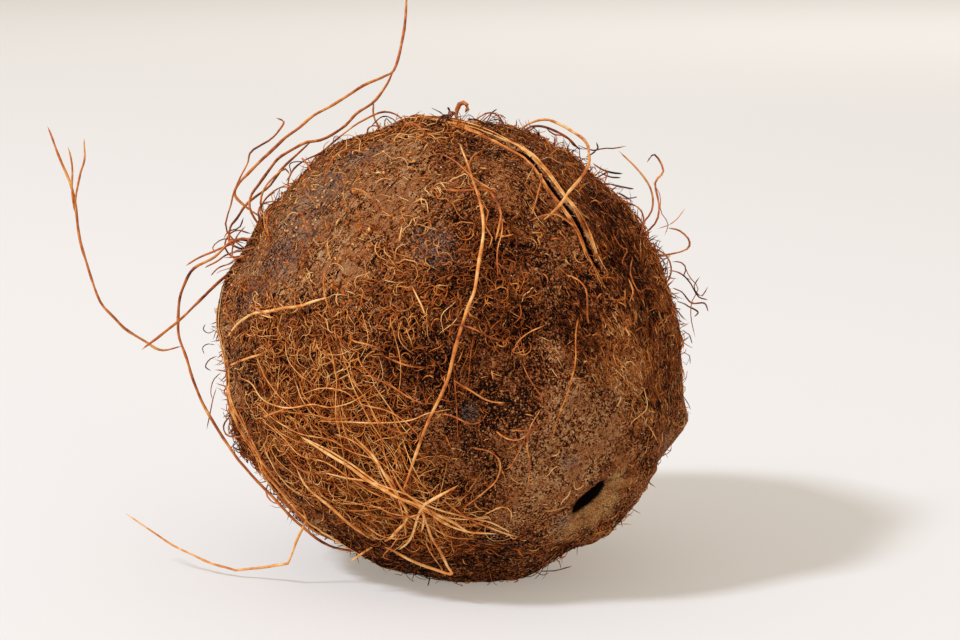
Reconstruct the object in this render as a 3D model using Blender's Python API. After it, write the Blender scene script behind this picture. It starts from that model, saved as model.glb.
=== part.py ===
"""A husked coconut shell lying on its side, with one eye open and long husk fibres still growing on it.

The shell, its three split sutures, its eyes and every fibre grew as one piece, so they are one solid.
Units are metres and +Z is up. The origin is on the small flat spot that the nut rests on.
+X is the level direction that the open eye faces.
"""

import math
import random

import bmesh
import bpy
import numpy as np
from mathutils import Matrix, Vector

MM = 0.001
NODE_NAME = "coconut_shell"

# Size of the nut, from its centre
FLANK_RADIUS = 55.3 * MM
EYE_END_LENGTH = 59.6 * MM
BLOSSOM_END_LENGTH = 54.2 * MM
CENTRE_HEIGHT = 55.8 * MM
LOBE_RISE = 0.9 * MM
WALL = 6.5 * MM

# How the nut lies
AXIS_AZIMUTH = math.radians(27.2)
EYE_END_DROP = math.radians(37.5)
SUTURE_ROLL = math.radians(24.0)

# Sutures: a rounded rib on each of three meridians, split into two lips by a groove along the flank
SUTURE_COUNT = 3
LIP_OFFSET = 1.9 * MM
LIP_WIDTH = 1.2 * MM
LIP_HEIGHT = 1.6 * MM
GROOVE_DEPTH = 1.1 * MM
SPLIT_START = math.radians(55.0)
SPLIT_FADE = math.radians(20.0)
POLE_RIB_HEIGHT = 1.6 * MM
FLANK_RIB_HEIGHT = 0.3 * MM
RIB_WIDTH = 4.5 * MM

# Eyes: (angle from the eye end's pole, angle round it from the upper suture, brow height)
EYES = (
    (math.radians(21.5), math.radians(62.0), 0.8 * MM),
    (math.radians(13.5), math.radians(-70.0), 3.6 * MM),
    (math.radians(20.0), math.radians(180.0), 1.4 * MM),
)
PIT_DEPTH = 3.2 * MM
PIT_RADIUS = 6.4 * MM
BROW_OFFSET = 9.4 * MM
BROW_WIDTH = 4.6 * MM

# The first eye has opened, at the side of its pit that is away from the pole
HOLE_FROM_POLE = math.radians(24.0)
HOLE_ROUND_POLE = math.radians(62.0)
HOLE_LEAN = 0.8
HOLE_LONG_RADIUS = 5.1 * MM
HOLE_SHORT_RADIUS = 4.2 * MM

# Matted husk: low relief as a sum of waves
RELIEF_SEED = 22
RELIEF_WAVES = 18
RELIEF_HEIGHT = 0.17 * MM
RELIEF_WAVELENGTHS = (13.0 * MM, 26.0 * MM)

# Grid of the outer surface and of the hollow
COLUMNS = 66
ROWS = 32
COLUMN_CROWDING = 0.19
ROW_CROWDING = 0.35
HOLLOW_COLUMNS = 30
HOLLOW_ROWS = 18

# The side that the fibres are described from
FRONT_AZIMUTH = math.radians(45.5)
FRONT_ELEVATION = math.radians(10.0)
VIEW_DISTANCE = 556.0 * MM
AIM_RIGHT = 8.1 * MM
AIM_UP = 5.4 * MM

# Fibres
FIBRE_SIDES = 3
FIBRE_SPACING = 5.0 * MM
END_THINNING = 0.45
ROOT_DEPTH = 3.0 * MM
SURFACE_LIFT = 1.3 * MM
ON_SHELL = None
STRAY_SEED = 5
STRAY_COUNT = 90
STRAY_RADIUS = 0.55 * MM
STRAY_LENGTHS = (11.0 * MM, 20.0 * MM)
STRAY_LIFTS = (1.6 * MM, 3.4 * MM)
STRAY_FLOOR_CLEARANCE = 9.0 * MM
BACK_COUNT = 7
BACK_RADIUS = 0.6 * MM
BACK_LENGTHS = (34.0 * MM, 58.0 * MM)
BACK_LIFTS = (7.0 * MM, 13.0 * MM)

# Routes in millimetres from the nut's centre, seen from the front: right, up, towards the viewer.
# ON_SHELL in the third place lays the point on the shell's surface.
FREE_FIBRES = {
    "left_hoop": (0.75, [
        (-46, 24, 4), (-52, 25, 3), (-57, 21, 3), (-62, 18, 3), (-65, 13, 3), (-66, 7, 4), (-66, 2, 5),
        (-64, -4, 6), (-61, -13, 7), (-57, -20, 8), (-51, -29, 9), (-43, -38, 9), (-36, -45, 9),
        (-29, -50, 8), (-21, -51, 5), (-16, -48, 2),
    ]),
    "left_whip": (0.65, [
        (-65, -1, 5.5), (-70, -2, 8), (-74, 0, 10), (-80, 4, 13), (-85, 10, 15), (-88, 18, 16),
        (-90, 25, 16), (-91, 34, 15), (-94, 43, 14), (-96, 48, 13), (-98, 53, 12),
    ]),
    "left_whip_middle": (0.5, [(-91, 31, 15.4), (-92, 37, 16), (-92, 43, 17), (-93, 48, 18)]),
    "left_whip_right": (0.5, [(-90, 26, 15.8), (-91, 34, 18), (-90, 41, 20), (-89, 45, 21), (-89, 50, 21)]),
    "left_spear": (0.72, [(-75, -2, 16), (-70, 2, 14), (-64, 7, 11), (-58, 13, 8), (-52, 18, 5), (-46, 22, 3)]),
    "crown_whip": (0.75, [
        (-10, 91, -12), (-10, 82, -10), (-11, 74, -8), (-13, 67, -6), (-16, 65, -4), (-22, 62, -2),
        (-27, 59, 0), (-32, 56, 1), (-37, 52, 2), (-42, 48, 3), (-48, 42, 4), (-51, 39, 5),
        (-52, 36, 5), (-49, 33, 5), (-43, 29, 4),
    ]),
    "crown_branch": (0.72, [
        (-13, 67, -6), (-15, 63, -8), (-18, 59, -9), (-22, 56, -9), (-25, 53, -8), (-30, 50, -7),
        (-35, 49, -6), (-40, 46, -4), (-43, 43, -3), (-46, 39, -2), (-48, 36, -1), (-48, 32, 0),
        (-45, 27, 1),
    ]),
    "crown_cross": (0.65, [
        (-33, 49.5, -6.5), (-38, 45, -8), (-41, 42, -8), (-44, 38, -7), (-48, 35, -5), (-51, 31, -2),
        (-53, 28, 1), (-53, 24, 3), (-47, 22, 4),
    ]),
    "crown_hair": (0.5, [
        (-42, 55, 9), (-40, 54, 9), (-41, 52, 9), (-43, 50, 9), (-48, 47, 9), (-49, 44, 9),
        (-51, 40, 8.5), (-53, 34, 7), (-54, 27, 5), (-47, 21, 4),
    ]),
    "crown_prop": (0.5, [(-15, 50, -9), (-18, 55, -9.5), (-18, 59, -9)]),
    "crown_arch": (0.5, [
        (-38, 33, 4), (-39, 38, 4), (-38, 42, 4), (-35, 44.5, 3), (-31, 46.5, 2), (-26, 50.5, 1),
        (-21, 54, 0), (-16, 56.5, -1), (-12, 55.5, -1), (-9, 52, -1),
    ]),
    "crown_loop": (0.5, [(-38.5, 41, 4), (-40, 42.5, 5), (-43, 40, 6), (-45, 37, 6), (-45.5, 33, 6), (-43, 28, 5)]),
    "floor_whip": (0.6, [
        (-79, -42, -4), (-73, -46, -2), (-66, -51, 0), (-56, -54.5, 3), (-52, -55, 5), (-45, -54.5, 8),
        (-39, -53.5, 12), (-37, -49, 15), (-35, -45, 18), (-33, -42, 22), (-34, -39, 23),
        (-37, -34, 21), (-38, -31, 18),
    ]),
    "front_loop": (0.65, [
        (-37, -31, ON_SHELL), (-34, -36, ON_SHELL), (-28, -41, ON_SHELL), (-23, -45, ON_SHELL),
        (-18, -48.5, 27), (-12, -52, 28), (-4, -55.5, 29), (1, -57, 30), (0, -55, 31), (-2, -51, 31),
        (-4, -48, ON_SHELL), (-5, -45, ON_SHELL), (-6, -41, ON_SHELL),
    ]),
    "front_spear": (0.72, [
        (3, 49, ON_SHELL), (6, 41, ON_SHELL), (8, 34, ON_SHELL), (9, 27, ON_SHELL), (8, 19, ON_SHELL),
        (7, 13, ON_SHELL), (5, 8, ON_SHELL), (2, -2, ON_SHELL), (-1, -12, ON_SHELL),
        (-5, -20, ON_SHELL), (-8, -29, ON_SHELL), (-11, -37, ON_SHELL),
    ]),
    "right_arch": (0.65, [
        (16, 50, 10), (20, 53.5, 10), (25, 54.5, 12), (30, 52, 18), (34, 49, 24), (35, 46, 30),
        (34, 42, 36), (30, 37, 42), (27, 33, 44), (22, 28.5, 40),
    ]),
    "right_hair_high": (0.5, [(42, 47, 4), (47, 42, 4), (50, 37, 3), (50, 32, 2), (46, 27, 1)]),
    "right_hair_hook": (0.5, [
        (49, 44, -4), (51, 46, -4), (53, 42, -4), (51, 39, -3), (52, 34, -2), (51, 29, 0),
        (46, 25, 2),
    ]),
    "right_hair_low": (0.5, [(54, 28, 8), (57, 27.5, 8), (59.5, 25, 7), (58.5, 22.5, 5), (52, 21, 4), (46, 20, 3)]),
    "band_long": (0.72, [
        (-36, -23, ON_SHELL), (-30, -27, ON_SHELL), (-25, -30, ON_SHELL), (-19, -34, ON_SHELL),
        (-12, -38, ON_SHELL), (-5, -41, ON_SHELL), (1, -44, ON_SHELL), (6, -47, ON_SHELL),
    ]),
    "band_crossing": (0.65, [
        (-23, -23, ON_SHELL), (-19, -27, ON_SHELL), (-15, -33, ON_SHELL), (-10, -42, ON_SHELL),
        (-13, -47, ON_SHELL), (-18, -50, 24), (-24, -54, 20),
    ]),
    "band_short": (0.65, [
        (3, -35, ON_SHELL), (-3, -38.5, ON_SHELL), (-7, -42, ON_SHELL), (-9, -48, ON_SHELL),
        (-12, -51, ON_SHELL),
    ]),
    "temple_fibre": (0.65, [
        (-54, 1, ON_SHELL), (-51, 5, ON_SHELL), (-47, 7, ON_SHELL), (-42, 8, ON_SHELL),
        (-36, 9, ON_SHELL), (-29, 11, ON_SHELL),
    ]),
    "top_stub": (1.1, [(3, 52, -4), (3, 57, -4), (3.5, 60.5, -4), (5.5, 61, -3), (6, 59, -2)]),
}


def nut_frame():
    """Return the 3 by 3 matrix from the nut's own axes (upper suture, cross, eye end) to the row's axes."""
    level = math.cos(EYE_END_DROP)
    eye_end = Vector((level * math.cos(AXIS_AZIMUTH), level * math.sin(AXIS_AZIMUTH), -math.sin(EYE_END_DROP)))
    upper = (Vector((0, 0, 1)) - eye_end * eye_end.z).normalized()
    suture = upper * math.cos(SUTURE_ROLL) + eye_end.cross(upper) * math.sin(SUTURE_ROLL)
    return np.array(Matrix((suture, eye_end.cross(suture), eye_end)).transposed())


TO_ROW = nut_frame()
CENTRE = np.array((0.0, 0.0, CENTRE_HEIGHT))


def direction(from_pole, round_pole):
    """Return the unit vector at two angles in the nut's own axes."""
    flank = np.sin(from_pole)
    return np.stack([flank * np.cos(round_pole), flank * np.sin(round_pole), np.cos(from_pole)], axis=-1)


def angle_from_pole(unit):
    """Return the angle of each direction from the eye end's pole."""
    return np.arccos(np.clip(unit[:, 2], -1, 1))


def bell(distance, width):
    """Return a smooth bump of height 1 that falls away over width."""
    return np.exp(-((distance / width) ** 2))


def husk_relief(points):
    """Return the matted husk's low relief: a sum of seeded plane waves through space."""
    draw = random.Random(RELIEF_SEED)
    total = np.zeros(len(points))
    for _ in range(RELIEF_WAVES):
        heading = Vector([draw.gauss(0, 1) for _ in range(3)]).normalized()
        wave_number = 2 * math.pi / draw.uniform(*RELIEF_WAVELENGTHS)
        total += np.sin(points @ np.array(heading) * wave_number + draw.uniform(0, 2 * math.pi))
    return total * RELIEF_HEIGHT


def suture_profile(unit):
    """Return the height of the nearest suture: a rounded rib to the pole, with a split along the flank."""
    third = 2 * math.pi / SUTURE_COUNT
    around = np.arctan2(unit[:, 1], unit[:, 0])
    off_suture = (around + third / 2) % third - third / 2
    across = off_suture * np.hypot(unit[:, 0], unit[:, 1]) * FLANK_RADIUS
    lips = LIP_HEIGHT * (bell(across - LIP_OFFSET, LIP_WIDTH) + bell(across + LIP_OFFSET, LIP_WIDTH))
    split = lips - GROOVE_DEPTH * bell(across, LIP_WIDTH)
    onset = np.clip((angle_from_pole(unit) - SPLIT_START) / SPLIT_FADE, 0, 1)
    rib_height = FLANK_RIB_HEIGHT + (POLE_RIB_HEIGHT - FLANK_RIB_HEIGHT) * np.clip(unit[:, 2], 0, 1)
    return rib_height * bell(across, RIB_WIDTH) + split * onset


def eye_profile(unit):
    """Return the height of the three eyes: a pit each, with a curved brow on the side away from the pole."""
    total = np.zeros(len(unit))
    for from_pole, round_pole, brow_height in EYES:
        to_pit = np.arccos(np.clip(unit @ direction(from_pole, round_pole), -1, 1)) * FLANK_RADIUS
        beyond_pit = (angle_from_pole(unit) - from_pole) * FLANK_RADIUS
        facing_away = np.clip(beyond_pit / np.maximum(to_pit, MM), 0, 1) ** 2
        total += brow_height * bell(to_pit - BROW_OFFSET, BROW_WIDTH) * facing_away
        total -= PIT_DEPTH * np.exp(-((to_pit / PIT_RADIUS) ** 4))
    return total


def shell_radius(unit):
    """Return the distance from the nut's centre to its outer surface at each direction in the nut's axes."""
    length = np.where(unit[:, 2] > 0, EYE_END_LENGTH, BLOSSOM_END_LENGTH)
    flank = np.hypot(unit[:, 0], unit[:, 1])
    egg = 1 / np.sqrt((flank / FLANK_RADIUS) ** 2 + (unit[:, 2] / length) ** 2)
    lobes = LOBE_RISE * flank**2 * np.cos(SUTURE_COUNT * np.arctan2(unit[:, 1], unit[:, 0]))
    return egg + lobes + suture_profile(unit) + eye_profile(unit) + husk_relief(unit * egg[:, None])


def height_above_shell(point):
    """Return how far a point in the row's axes lies outside the shell's surface."""
    offset = (np.array(point) - CENTRE) @ TO_ROW
    distance = np.linalg.norm(offset)
    return distance - shell_radius((offset / distance)[None])[0]


def surface_point(unit, lift):
    """Return the point in the row's axes at a height above the shell, along a direction in the nut's axes."""
    return CENTRE + TO_ROW @ (unit * (shell_radius(unit[None])[0] + lift))


def on_sight_line(right, up, towards):
    """Return the point seen at (right, up) millimetres from the nut's centre, that far towards the viewer."""
    azimuth, elevation = FRONT_AZIMUTH, FRONT_ELEVATION
    across = np.array((math.cos(azimuth), math.sin(azimuth), 0.0))
    back = np.array((
        math.sin(azimuth) * math.cos(elevation),
        -math.cos(azimuth) * math.cos(elevation),
        math.sin(elevation),
    ))
    rise = np.cross(back, across)
    viewer = CENTRE + across * AIM_RIGHT + rise * AIM_UP + back * VIEW_DISTANCE
    seen = CENTRE + (across * right + rise * up) * MM
    return viewer + (seen - viewer) * (1 - towards * MM / VIEW_DISTANCE)


def lay_on_shell(right, up):
    """Return the point on a sight line that lies just above the shell, found by halving."""
    near, far = 0.0, FLANK_RADIUS * 1.4 / MM
    for _ in range(30):
        middle = (near + far) / 2
        if height_above_shell(on_sight_line(right, up, middle)) < SURFACE_LIFT:
            near = middle
        else:
            far = middle
    return on_sight_line(right, up, near)


def sink_end(path):
    """Move the path's last point under the surface, so that the fibre roots in the shell."""
    offset = path[-1] - CENTRE
    outward = offset / np.linalg.norm(offset)
    path[-1] = path[-1] - outward * (max(height_above_shell(path[-1]), 0) + ROOT_DEPTH)


def route_points(route):
    """Return a route's points in the row's axes, with an end that lies on the shell sunk into it."""
    path = [lay_on_shell(r, u) if t is ON_SHELL else on_sight_line(r, u, t) for r, u, t in route]
    if route[-1][2] is ON_SHELL:
        sink_end(path)
    if route[0][2] is ON_SHELL:
        path.reverse()
        sink_end(path)
    return path


def smooth_path(points, spacing):
    """Return points along a Catmull-Rom curve through the given ones, about that far apart."""
    ends = [2 * points[0] - points[1], *points, 2 * points[-1] - points[-2]]
    path = []
    for before, start, stop, after in zip(ends, ends[1:], ends[2:], ends[3:]):
        steps = max(1, round(float(np.linalg.norm(stop - start)) / spacing))
        for step in range(steps):
            t = step / steps
            bend = 2 * before - 5 * start + 4 * stop - after
            swing = 3 * start - before - 3 * stop + after
            path.append((2 * start + (stop - before) * t + bend * t**2 + swing * t**3) / 2)
    return [*path, points[-1]]


def arch(start, heading, length, lift, sway):
    """Return a fibre's path over the shell: a shallow arch with both ends sunk in it."""
    path = []
    side = np.cross(start, heading)
    for t in np.linspace(0, 1, 6):
        turn = t * length / FLANK_RADIUS
        unit = start * math.cos(turn) + heading * math.sin(turn) + side * sway * math.sin(2 * math.pi * t)
        rise = (lift + ROOT_DEPTH) * math.sin(math.pi * t) - ROOT_DEPTH
        path.append(surface_point(unit / np.linalg.norm(unit), rise))
    return path


def arched_fibres(seed, count, lengths, lifts, allowed):
    """Return seeded arched fibres spread evenly over the shell by a golden spiral, where allowed."""
    draw = random.Random(seed)
    golden_turn = math.pi * (3 - math.sqrt(5))
    paths = []
    for index in range(count):
        from_pole = math.acos(1 - 2 * (index + 0.5) / count)
        start = direction(from_pole, index * golden_turn + draw.uniform(-0.2, 0.2))
        along = direction(from_pole + math.pi / 2, index * golden_turn)
        turn = draw.uniform(-1.1, 1.1)
        along = along - start * (along @ start)
        along /= np.linalg.norm(along)
        heading = along * math.cos(turn) + np.cross(start, along) * math.sin(turn)
        path = arch(start, heading, draw.uniform(*lengths), draw.uniform(*lifts), draw.uniform(-0.03, 0.03))
        if allowed(path):
            paths.append(path)
    return paths


def clear_of_floor_and_eyes(path):
    """Say whether a fibre's path keeps off the surface the nut lies on, and off the eye end's face."""
    face = TO_ROW[:, 2]
    low = min(point[2] for point in path)
    to_face = max(float((point - CENTRE) @ face) / np.linalg.norm(point - CENTRE) for point in path)
    return low > STRAY_FLOOR_CLEARANCE and to_face < math.cos(math.radians(42))


def on_hidden_side(path):
    """Say whether a fibre's path lies on the side away from the front, clear of the floor."""
    front = np.array((math.sin(FRONT_AZIMUTH), -math.cos(FRONT_AZIMUTH), 0.0))
    ahead = max(float((point - CENTRE) @ front) for point in path)
    return clear_of_floor_and_eyes(path) and ahead < 0


def husk_material():
    """Return the brown husk fibre material: rough and dry."""
    material = bpy.data.materials.new("husk_fibre")
    material.use_nodes = True
    surface = material.node_tree.nodes["Principled BSDF"]
    surface.inputs["Base Color"].default_value = (0.24, 0.10, 0.04, 1)
    surface.inputs["Roughness"].default_value = 0.85
    surface.inputs["Metallic"].default_value = 0.0
    return material


def add_object(name, mesh, collection=None):
    """Link a new object that holds the mesh, in the scene or in the given collection."""
    new = bpy.data.objects.new(name, mesh)
    (collection or bpy.context.scene.collection).objects.link(new)
    return new


def finished_mesh(work, name):
    """Return the worked mesh under a name, shaded smooth, and free the work."""
    mesh = bpy.data.meshes.new(name)
    work.to_mesh(mesh)
    work.free()
    mesh.shade_smooth()
    return mesh


def sphere_mesh(name, columns, rows, shape):
    """Return a mesh from a unit sphere whose points the shape function moves."""
    work = bmesh.new()
    bmesh.ops.create_uvsphere(work, u_segments=columns, v_segments=rows, radius=1)
    unit = np.array([v.co for v in work.verts])
    for vertex, place in zip(work.verts, shape(unit)):
        vertex.co = place
    work.normal_update()
    bmesh.ops.recalc_face_normals(work, faces=work.faces)
    return finished_mesh(work, name)


def outer_surface(unit):
    """Return the outer surface's points, with the grid crowded at the sutures and the eye end."""
    around = np.arctan2(unit[:, 1], unit[:, 0])
    from_pole = np.arccos(np.clip(unit[:, 2], -1, 1))
    around = around - COLUMN_CROWDING * np.sin(SUTURE_COUNT * around)
    from_pole = from_pole - ROW_CROWDING * np.sin(from_pole)
    crowded = direction(from_pole, around)
    return CENTRE + (crowded * shell_radius(crowded)[:, None]) @ TO_ROW.T


def hollow_surface(unit):
    """Return the hollow's points: the plain egg shape, one wall thickness inside the shell."""
    length = np.where(unit[:, 2] > 0, EYE_END_LENGTH, BLOSSOM_END_LENGTH) - WALL
    flank = FLANK_RADIUS - WALL
    return CENTRE + (unit * np.stack([flank + 0 * length, flank + 0 * length, length], axis=1)) @ TO_ROW.T


def fibre_mesh(name, points, radius):
    """Return a closed tube with few sides along a path, thinner at both ends."""
    path = np.array(points)
    ahead = np.gradient(path, axis=0)
    ahead /= np.linalg.norm(ahead, axis=1)[:, None]
    side = np.cross(ahead[0], (0.3, 0.5, 0.8))
    turns = np.arange(FIBRE_SIDES) * 2 * math.pi / FIBRE_SIDES
    work = bmesh.new()
    rings = []
    for place, heading, along in zip(path, ahead, np.linspace(-1, 1, len(path))):
        side = side - heading * (side @ heading)
        side /= np.linalg.norm(side)
        spokes = np.outer(np.cos(turns), side) + np.outer(np.sin(turns), np.cross(heading, side))
        thickness = radius * (1 - END_THINNING * along**8)
        rings.append([work.verts.new(place + spoke * thickness) for spoke in spokes])
    for ring, following in zip(rings, rings[1:]):
        for corner in range(FIBRE_SIDES):
            work.faces.new((ring[corner - 1], ring[corner], following[corner], following[corner - 1]))
    work.faces.new(rings[0])
    work.faces.new(rings[-1])
    work.normal_update()
    bmesh.ops.recalc_face_normals(work, faces=work.faces)
    return finished_mesh(work, name)


def boolean(target, operation, name, **operand):
    """Add a Boolean modifier to the target and return it."""
    modifier = target.modifiers.new(name, "BOOLEAN")
    modifier.operation = operation
    for key, value in operand.items():
        setattr(modifier, key, value)
    return modifier


def cutter(name, mesh):
    """Return a cutter object, which isn't part of the shell."""
    tool = add_object(name, mesh)
    tool.hide_render = True
    tool.display_type = "WIRE"
    return tool


def eye_hole_mesh():
    """Return the open eye's oval cutter, which leans towards the level and is longest round the pole."""
    unit = direction(HOLE_FROM_POLE, HOLE_ROUND_POLE)
    mouth = surface_point(unit, 0)
    along = Vector(TO_ROW @ unit + np.array((HOLE_LEAN, 0, 0))).normalized()
    across = along.cross(Vector((0, 0, 1))).normalized()
    work = bmesh.new()
    bmesh.ops.create_cone(work, cap_ends=True, segments=16, radius1=1, radius2=1, depth=1)
    place = Matrix.Translation(mouth)
    place = place @ Matrix((across, along.cross(across), along)).transposed().to_4x4()
    place = place @ Matrix.Diagonal((HOLE_SHORT_RADIUS, HOLE_LONG_RADIUS, 4 * WALL, 1))
    bmesh.ops.transform(work, matrix=place, verts=work.verts)
    work.normal_update()
    bmesh.ops.recalc_face_normals(work, faces=work.faces)
    return finished_mesh(work, "eye_hole")


def below_floor_mesh():
    """Return a block under the level that the nut rests on, which cuts its small flat spot."""
    work = bmesh.new()
    side = 2 * FLANK_RADIUS
    place = Matrix.Translation((0, 0, -WALL)) @ Matrix.Diagonal((side, side, 2 * WALL, 1))
    bmesh.ops.create_cube(work, size=1, matrix=place)
    return finished_mesh(work, "below_floor")


def add_fibres(collection):
    """Add every fibre to the collection as a closed tube."""
    for name, (radius, route) in FREE_FIBRES.items():
        path = smooth_path(route_points(route), FIBRE_SPACING)
        add_object(name, fibre_mesh(name, path, radius * MM), collection)
    strays = arched_fibres(STRAY_SEED, STRAY_COUNT, STRAY_LENGTHS, STRAY_LIFTS, clear_of_floor_and_eyes)
    for path in strays:
        add_object("stray_fibre", fibre_mesh("stray_fibre", path, STRAY_RADIUS), collection)
    backs = arched_fibres(STRAY_SEED + 1, BACK_COUNT * 3, BACK_LENGTHS, BACK_LIFTS, on_hidden_side)
    for path in backs[:BACK_COUNT]:
        smooth = smooth_path(path, FIBRE_SPACING)
        add_object("back_fibre", fibre_mesh("back_fibre", smooth, BACK_RADIUS), collection)


def build_shell():
    """Build the shell with its fibres, hollow, open eye and resting spot."""
    shell = add_object(NODE_NAME, sphere_mesh(NODE_NAME, COLUMNS, ROWS, outer_surface))
    fibres = bpy.data.collections.new("fibres")
    bpy.context.scene.collection.children.link(fibres)
    add_fibres(fibres)
    boolean(shell, "UNION", "grow_fibres", operand_type="COLLECTION", collection=fibres)
    bpy.context.view_layer.objects.active = shell
    bpy.ops.object.modifier_apply(modifier="grow_fibres")
    for fibre in list(fibres.objects):
        bpy.data.objects.remove(fibre)
    bpy.data.collections.remove(fibres)

    hollow = cutter("hollow", sphere_mesh("hollow", HOLLOW_COLUMNS, HOLLOW_ROWS, hollow_surface))
    eye_hole = cutter("eye_hole", eye_hole_mesh())
    below_floor = cutter("below_floor", below_floor_mesh())
    boolean(shell, "DIFFERENCE", "empty_inside", object=hollow)
    boolean(shell, "DIFFERENCE", "open_eye", object=eye_hole)
    boolean(shell, "DIFFERENCE", "resting_spot", object=below_floor)
    shell.data.materials.append(husk_material())
    return shell


def main():
    """Clear the scene and build the one solid."""
    for old in list(bpy.data.objects):
        bpy.data.objects.remove(old)
    build_shell()


main()
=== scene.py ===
"""Looks of a husked coconut shell with long husk fibres still growing on it.

The shell's surface, its matted fibres and its long strands are worked out here over the same egg shape as
the solid. Lengths are metres; routes and patches are given in millimetres from the nut's centre.
"""

import itertools
import logging
import math
import random
from dataclasses import dataclass, field
from enum import Enum
from typing import Union

import bpy
import numpy as np
from mathutils import Matrix, Vector


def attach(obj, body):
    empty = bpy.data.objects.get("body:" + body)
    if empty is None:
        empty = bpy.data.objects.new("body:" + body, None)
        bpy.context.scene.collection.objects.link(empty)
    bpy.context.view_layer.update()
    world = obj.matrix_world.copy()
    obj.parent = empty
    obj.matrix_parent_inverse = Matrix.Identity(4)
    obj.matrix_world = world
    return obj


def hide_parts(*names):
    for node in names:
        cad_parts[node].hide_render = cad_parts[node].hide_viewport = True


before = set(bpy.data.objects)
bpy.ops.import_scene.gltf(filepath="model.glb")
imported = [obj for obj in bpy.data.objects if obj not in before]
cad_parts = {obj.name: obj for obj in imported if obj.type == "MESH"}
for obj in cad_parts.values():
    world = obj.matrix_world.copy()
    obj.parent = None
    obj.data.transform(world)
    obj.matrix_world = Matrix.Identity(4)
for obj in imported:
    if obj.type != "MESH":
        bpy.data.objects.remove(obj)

MM = 0.001
NODE_NAME = "coconut_shell"
BODY_NAME = "root"
Socket = bpy.types.NodeSocket
Value = Union[Socket, float]
# The open eye's angles from the pole of the eye end, and round it
OPEN_EYE = (math.radians(24.0), math.radians(62.0))
# How many times a search by halving narrows its range
HALVINGS = 24

log = logging.getLogger("coconut_shell")


def linear(colour: str) -> tuple[float, float, float, float]:
    """Turn an sRGB hex colour into linear red, green, blue and alpha.

    Args:
        colour: The colour as #rrggbb.

    Returns:
        The linear values, by the sRGB curve: c / 12.92 below 0.04045, else ((c + 0.055) / 1.055) ^ 2.4.
    """
    values = [int(colour[i:i + 2], 16) / 255 for i in (1, 3, 5)]
    curved = [v / 12.92 if v <= 0.04045 else ((v + 0.055) / 1.055) ** 2.4 for v in values]
    return (*curved, 1.0)


def add_node(tree: bpy.types.NodeTree, kind: str, inputs: dict | None = None, stops: list | None = None,
             **settings) -> bpy.types.Node:
    """Add one shader node with its settings and links.

    Args:
        tree: The node tree to add to.
        kind: The node's type name.
        inputs: Each input socket's name or number, with the output socket to link or the value to set.
        stops: For a colour ramp, its (place, hex colour) stops.
        settings: Values of the node's own properties.

    Returns:
        The new node.
    """
    node = tree.nodes.new(kind)
    for key, value in settings.items():
        setattr(node, key, value)
    for key, source in (inputs or {}).items():
        if isinstance(source, bpy.types.NodeSocket):
            tree.links.new(source, node.inputs[key])
        else:
            node.inputs[key].default_value = source
    if stops:
        ramp = node.color_ramp.elements
        while len(ramp) < len(stops):
            ramp.new(1.0)
        for element, (place, colour) in zip(ramp, stops):
            element.position = place
            element.color = linear(colour)
    return node


@dataclass(frozen=True)
class NodeMaker:
    """Adds shader nodes to one tree and hands back each new node's output."""

    tree: bpy.types.NodeTree

    def attribute(self, name: str, output: str = "Fac") -> Socket:
        """Return one of the mesh's own attributes."""
        return add_node(self.tree, "ShaderNodeAttribute", attribute_name=name).outputs[output]

    def place(self) -> Socket:
        """Return the place in the object's own coordinates."""
        return add_node(self.tree, "ShaderNodeTexCoord").outputs["Object"]

    def noise(self, where: Socket, size: float, **inputs: float) -> Socket:
        """Return a noise of about the given size, with the node's other inputs by name."""
        inputs = {"Vector": where, "Scale": 1 / size, **inputs}
        return add_node(self.tree, "ShaderNodeTexNoise", inputs).outputs["Fac"]

    def math(self, operation: str, *values: Value, **settings) -> Socket:
        """Return the result of one operation on sockets or plain values."""
        inputs = dict(enumerate(values))
        return add_node(self.tree, "ShaderNodeMath", inputs, operation=operation, **settings).outputs[0]

    def add_scaled(self, value: Socket, factor: Value, rest: Value) -> Socket:
        """Return value x factor + rest."""
        return self.math("MULTIPLY_ADD", value, factor, rest)

    def remap(self, value: Socket, source: tuple[float, float], target: tuple[float, float],
              clamp: bool = True) -> Socket:
        """Return a value moved from one range to another."""
        inputs = dict(zip(("Value", "From Min", "From Max", "To Min", "To Max"), (value, *source, *target)))
        return add_node(self.tree, "ShaderNodeMapRange", inputs, clamp=clamp).outputs[0]

    def mix(self, factor: Socket, first: Value, second: Value) -> Socket:
        """Return the value that lies a factor of the way from the first to the second."""
        return add_node(self.tree, "ShaderNodeMix", {"Factor": factor, 2: first, 3: second}).outputs[0]

    def blend(self, factor: Socket, first: Socket, second: Union[Socket, tuple]) -> Socket:
        """Return the colour that lies a factor of the way from the first to the second."""
        inputs = {"Factor": factor, 6: first, 7: second}
        return add_node(self.tree, "ShaderNodeMix", inputs, data_type="RGBA").outputs[2]

    def ramp(self, value: Socket, stops: tuple) -> Socket:
        """Return a value's colour on a ramp of (place, hex colour) stops."""
        return add_node(self.tree, "ShaderNodeValToRGB", {"Fac": value}, stops=list(stops)).outputs["Color"]

    def bump(self, height: Socket, strength: float, distance: float) -> Socket:
        """Return the normal of a surface that a height raises."""
        inputs = {"Height": height, "Strength": strength, "Distance": distance}
        return add_node(self.tree, "ShaderNodeBump", inputs).outputs["Normal"]


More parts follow.
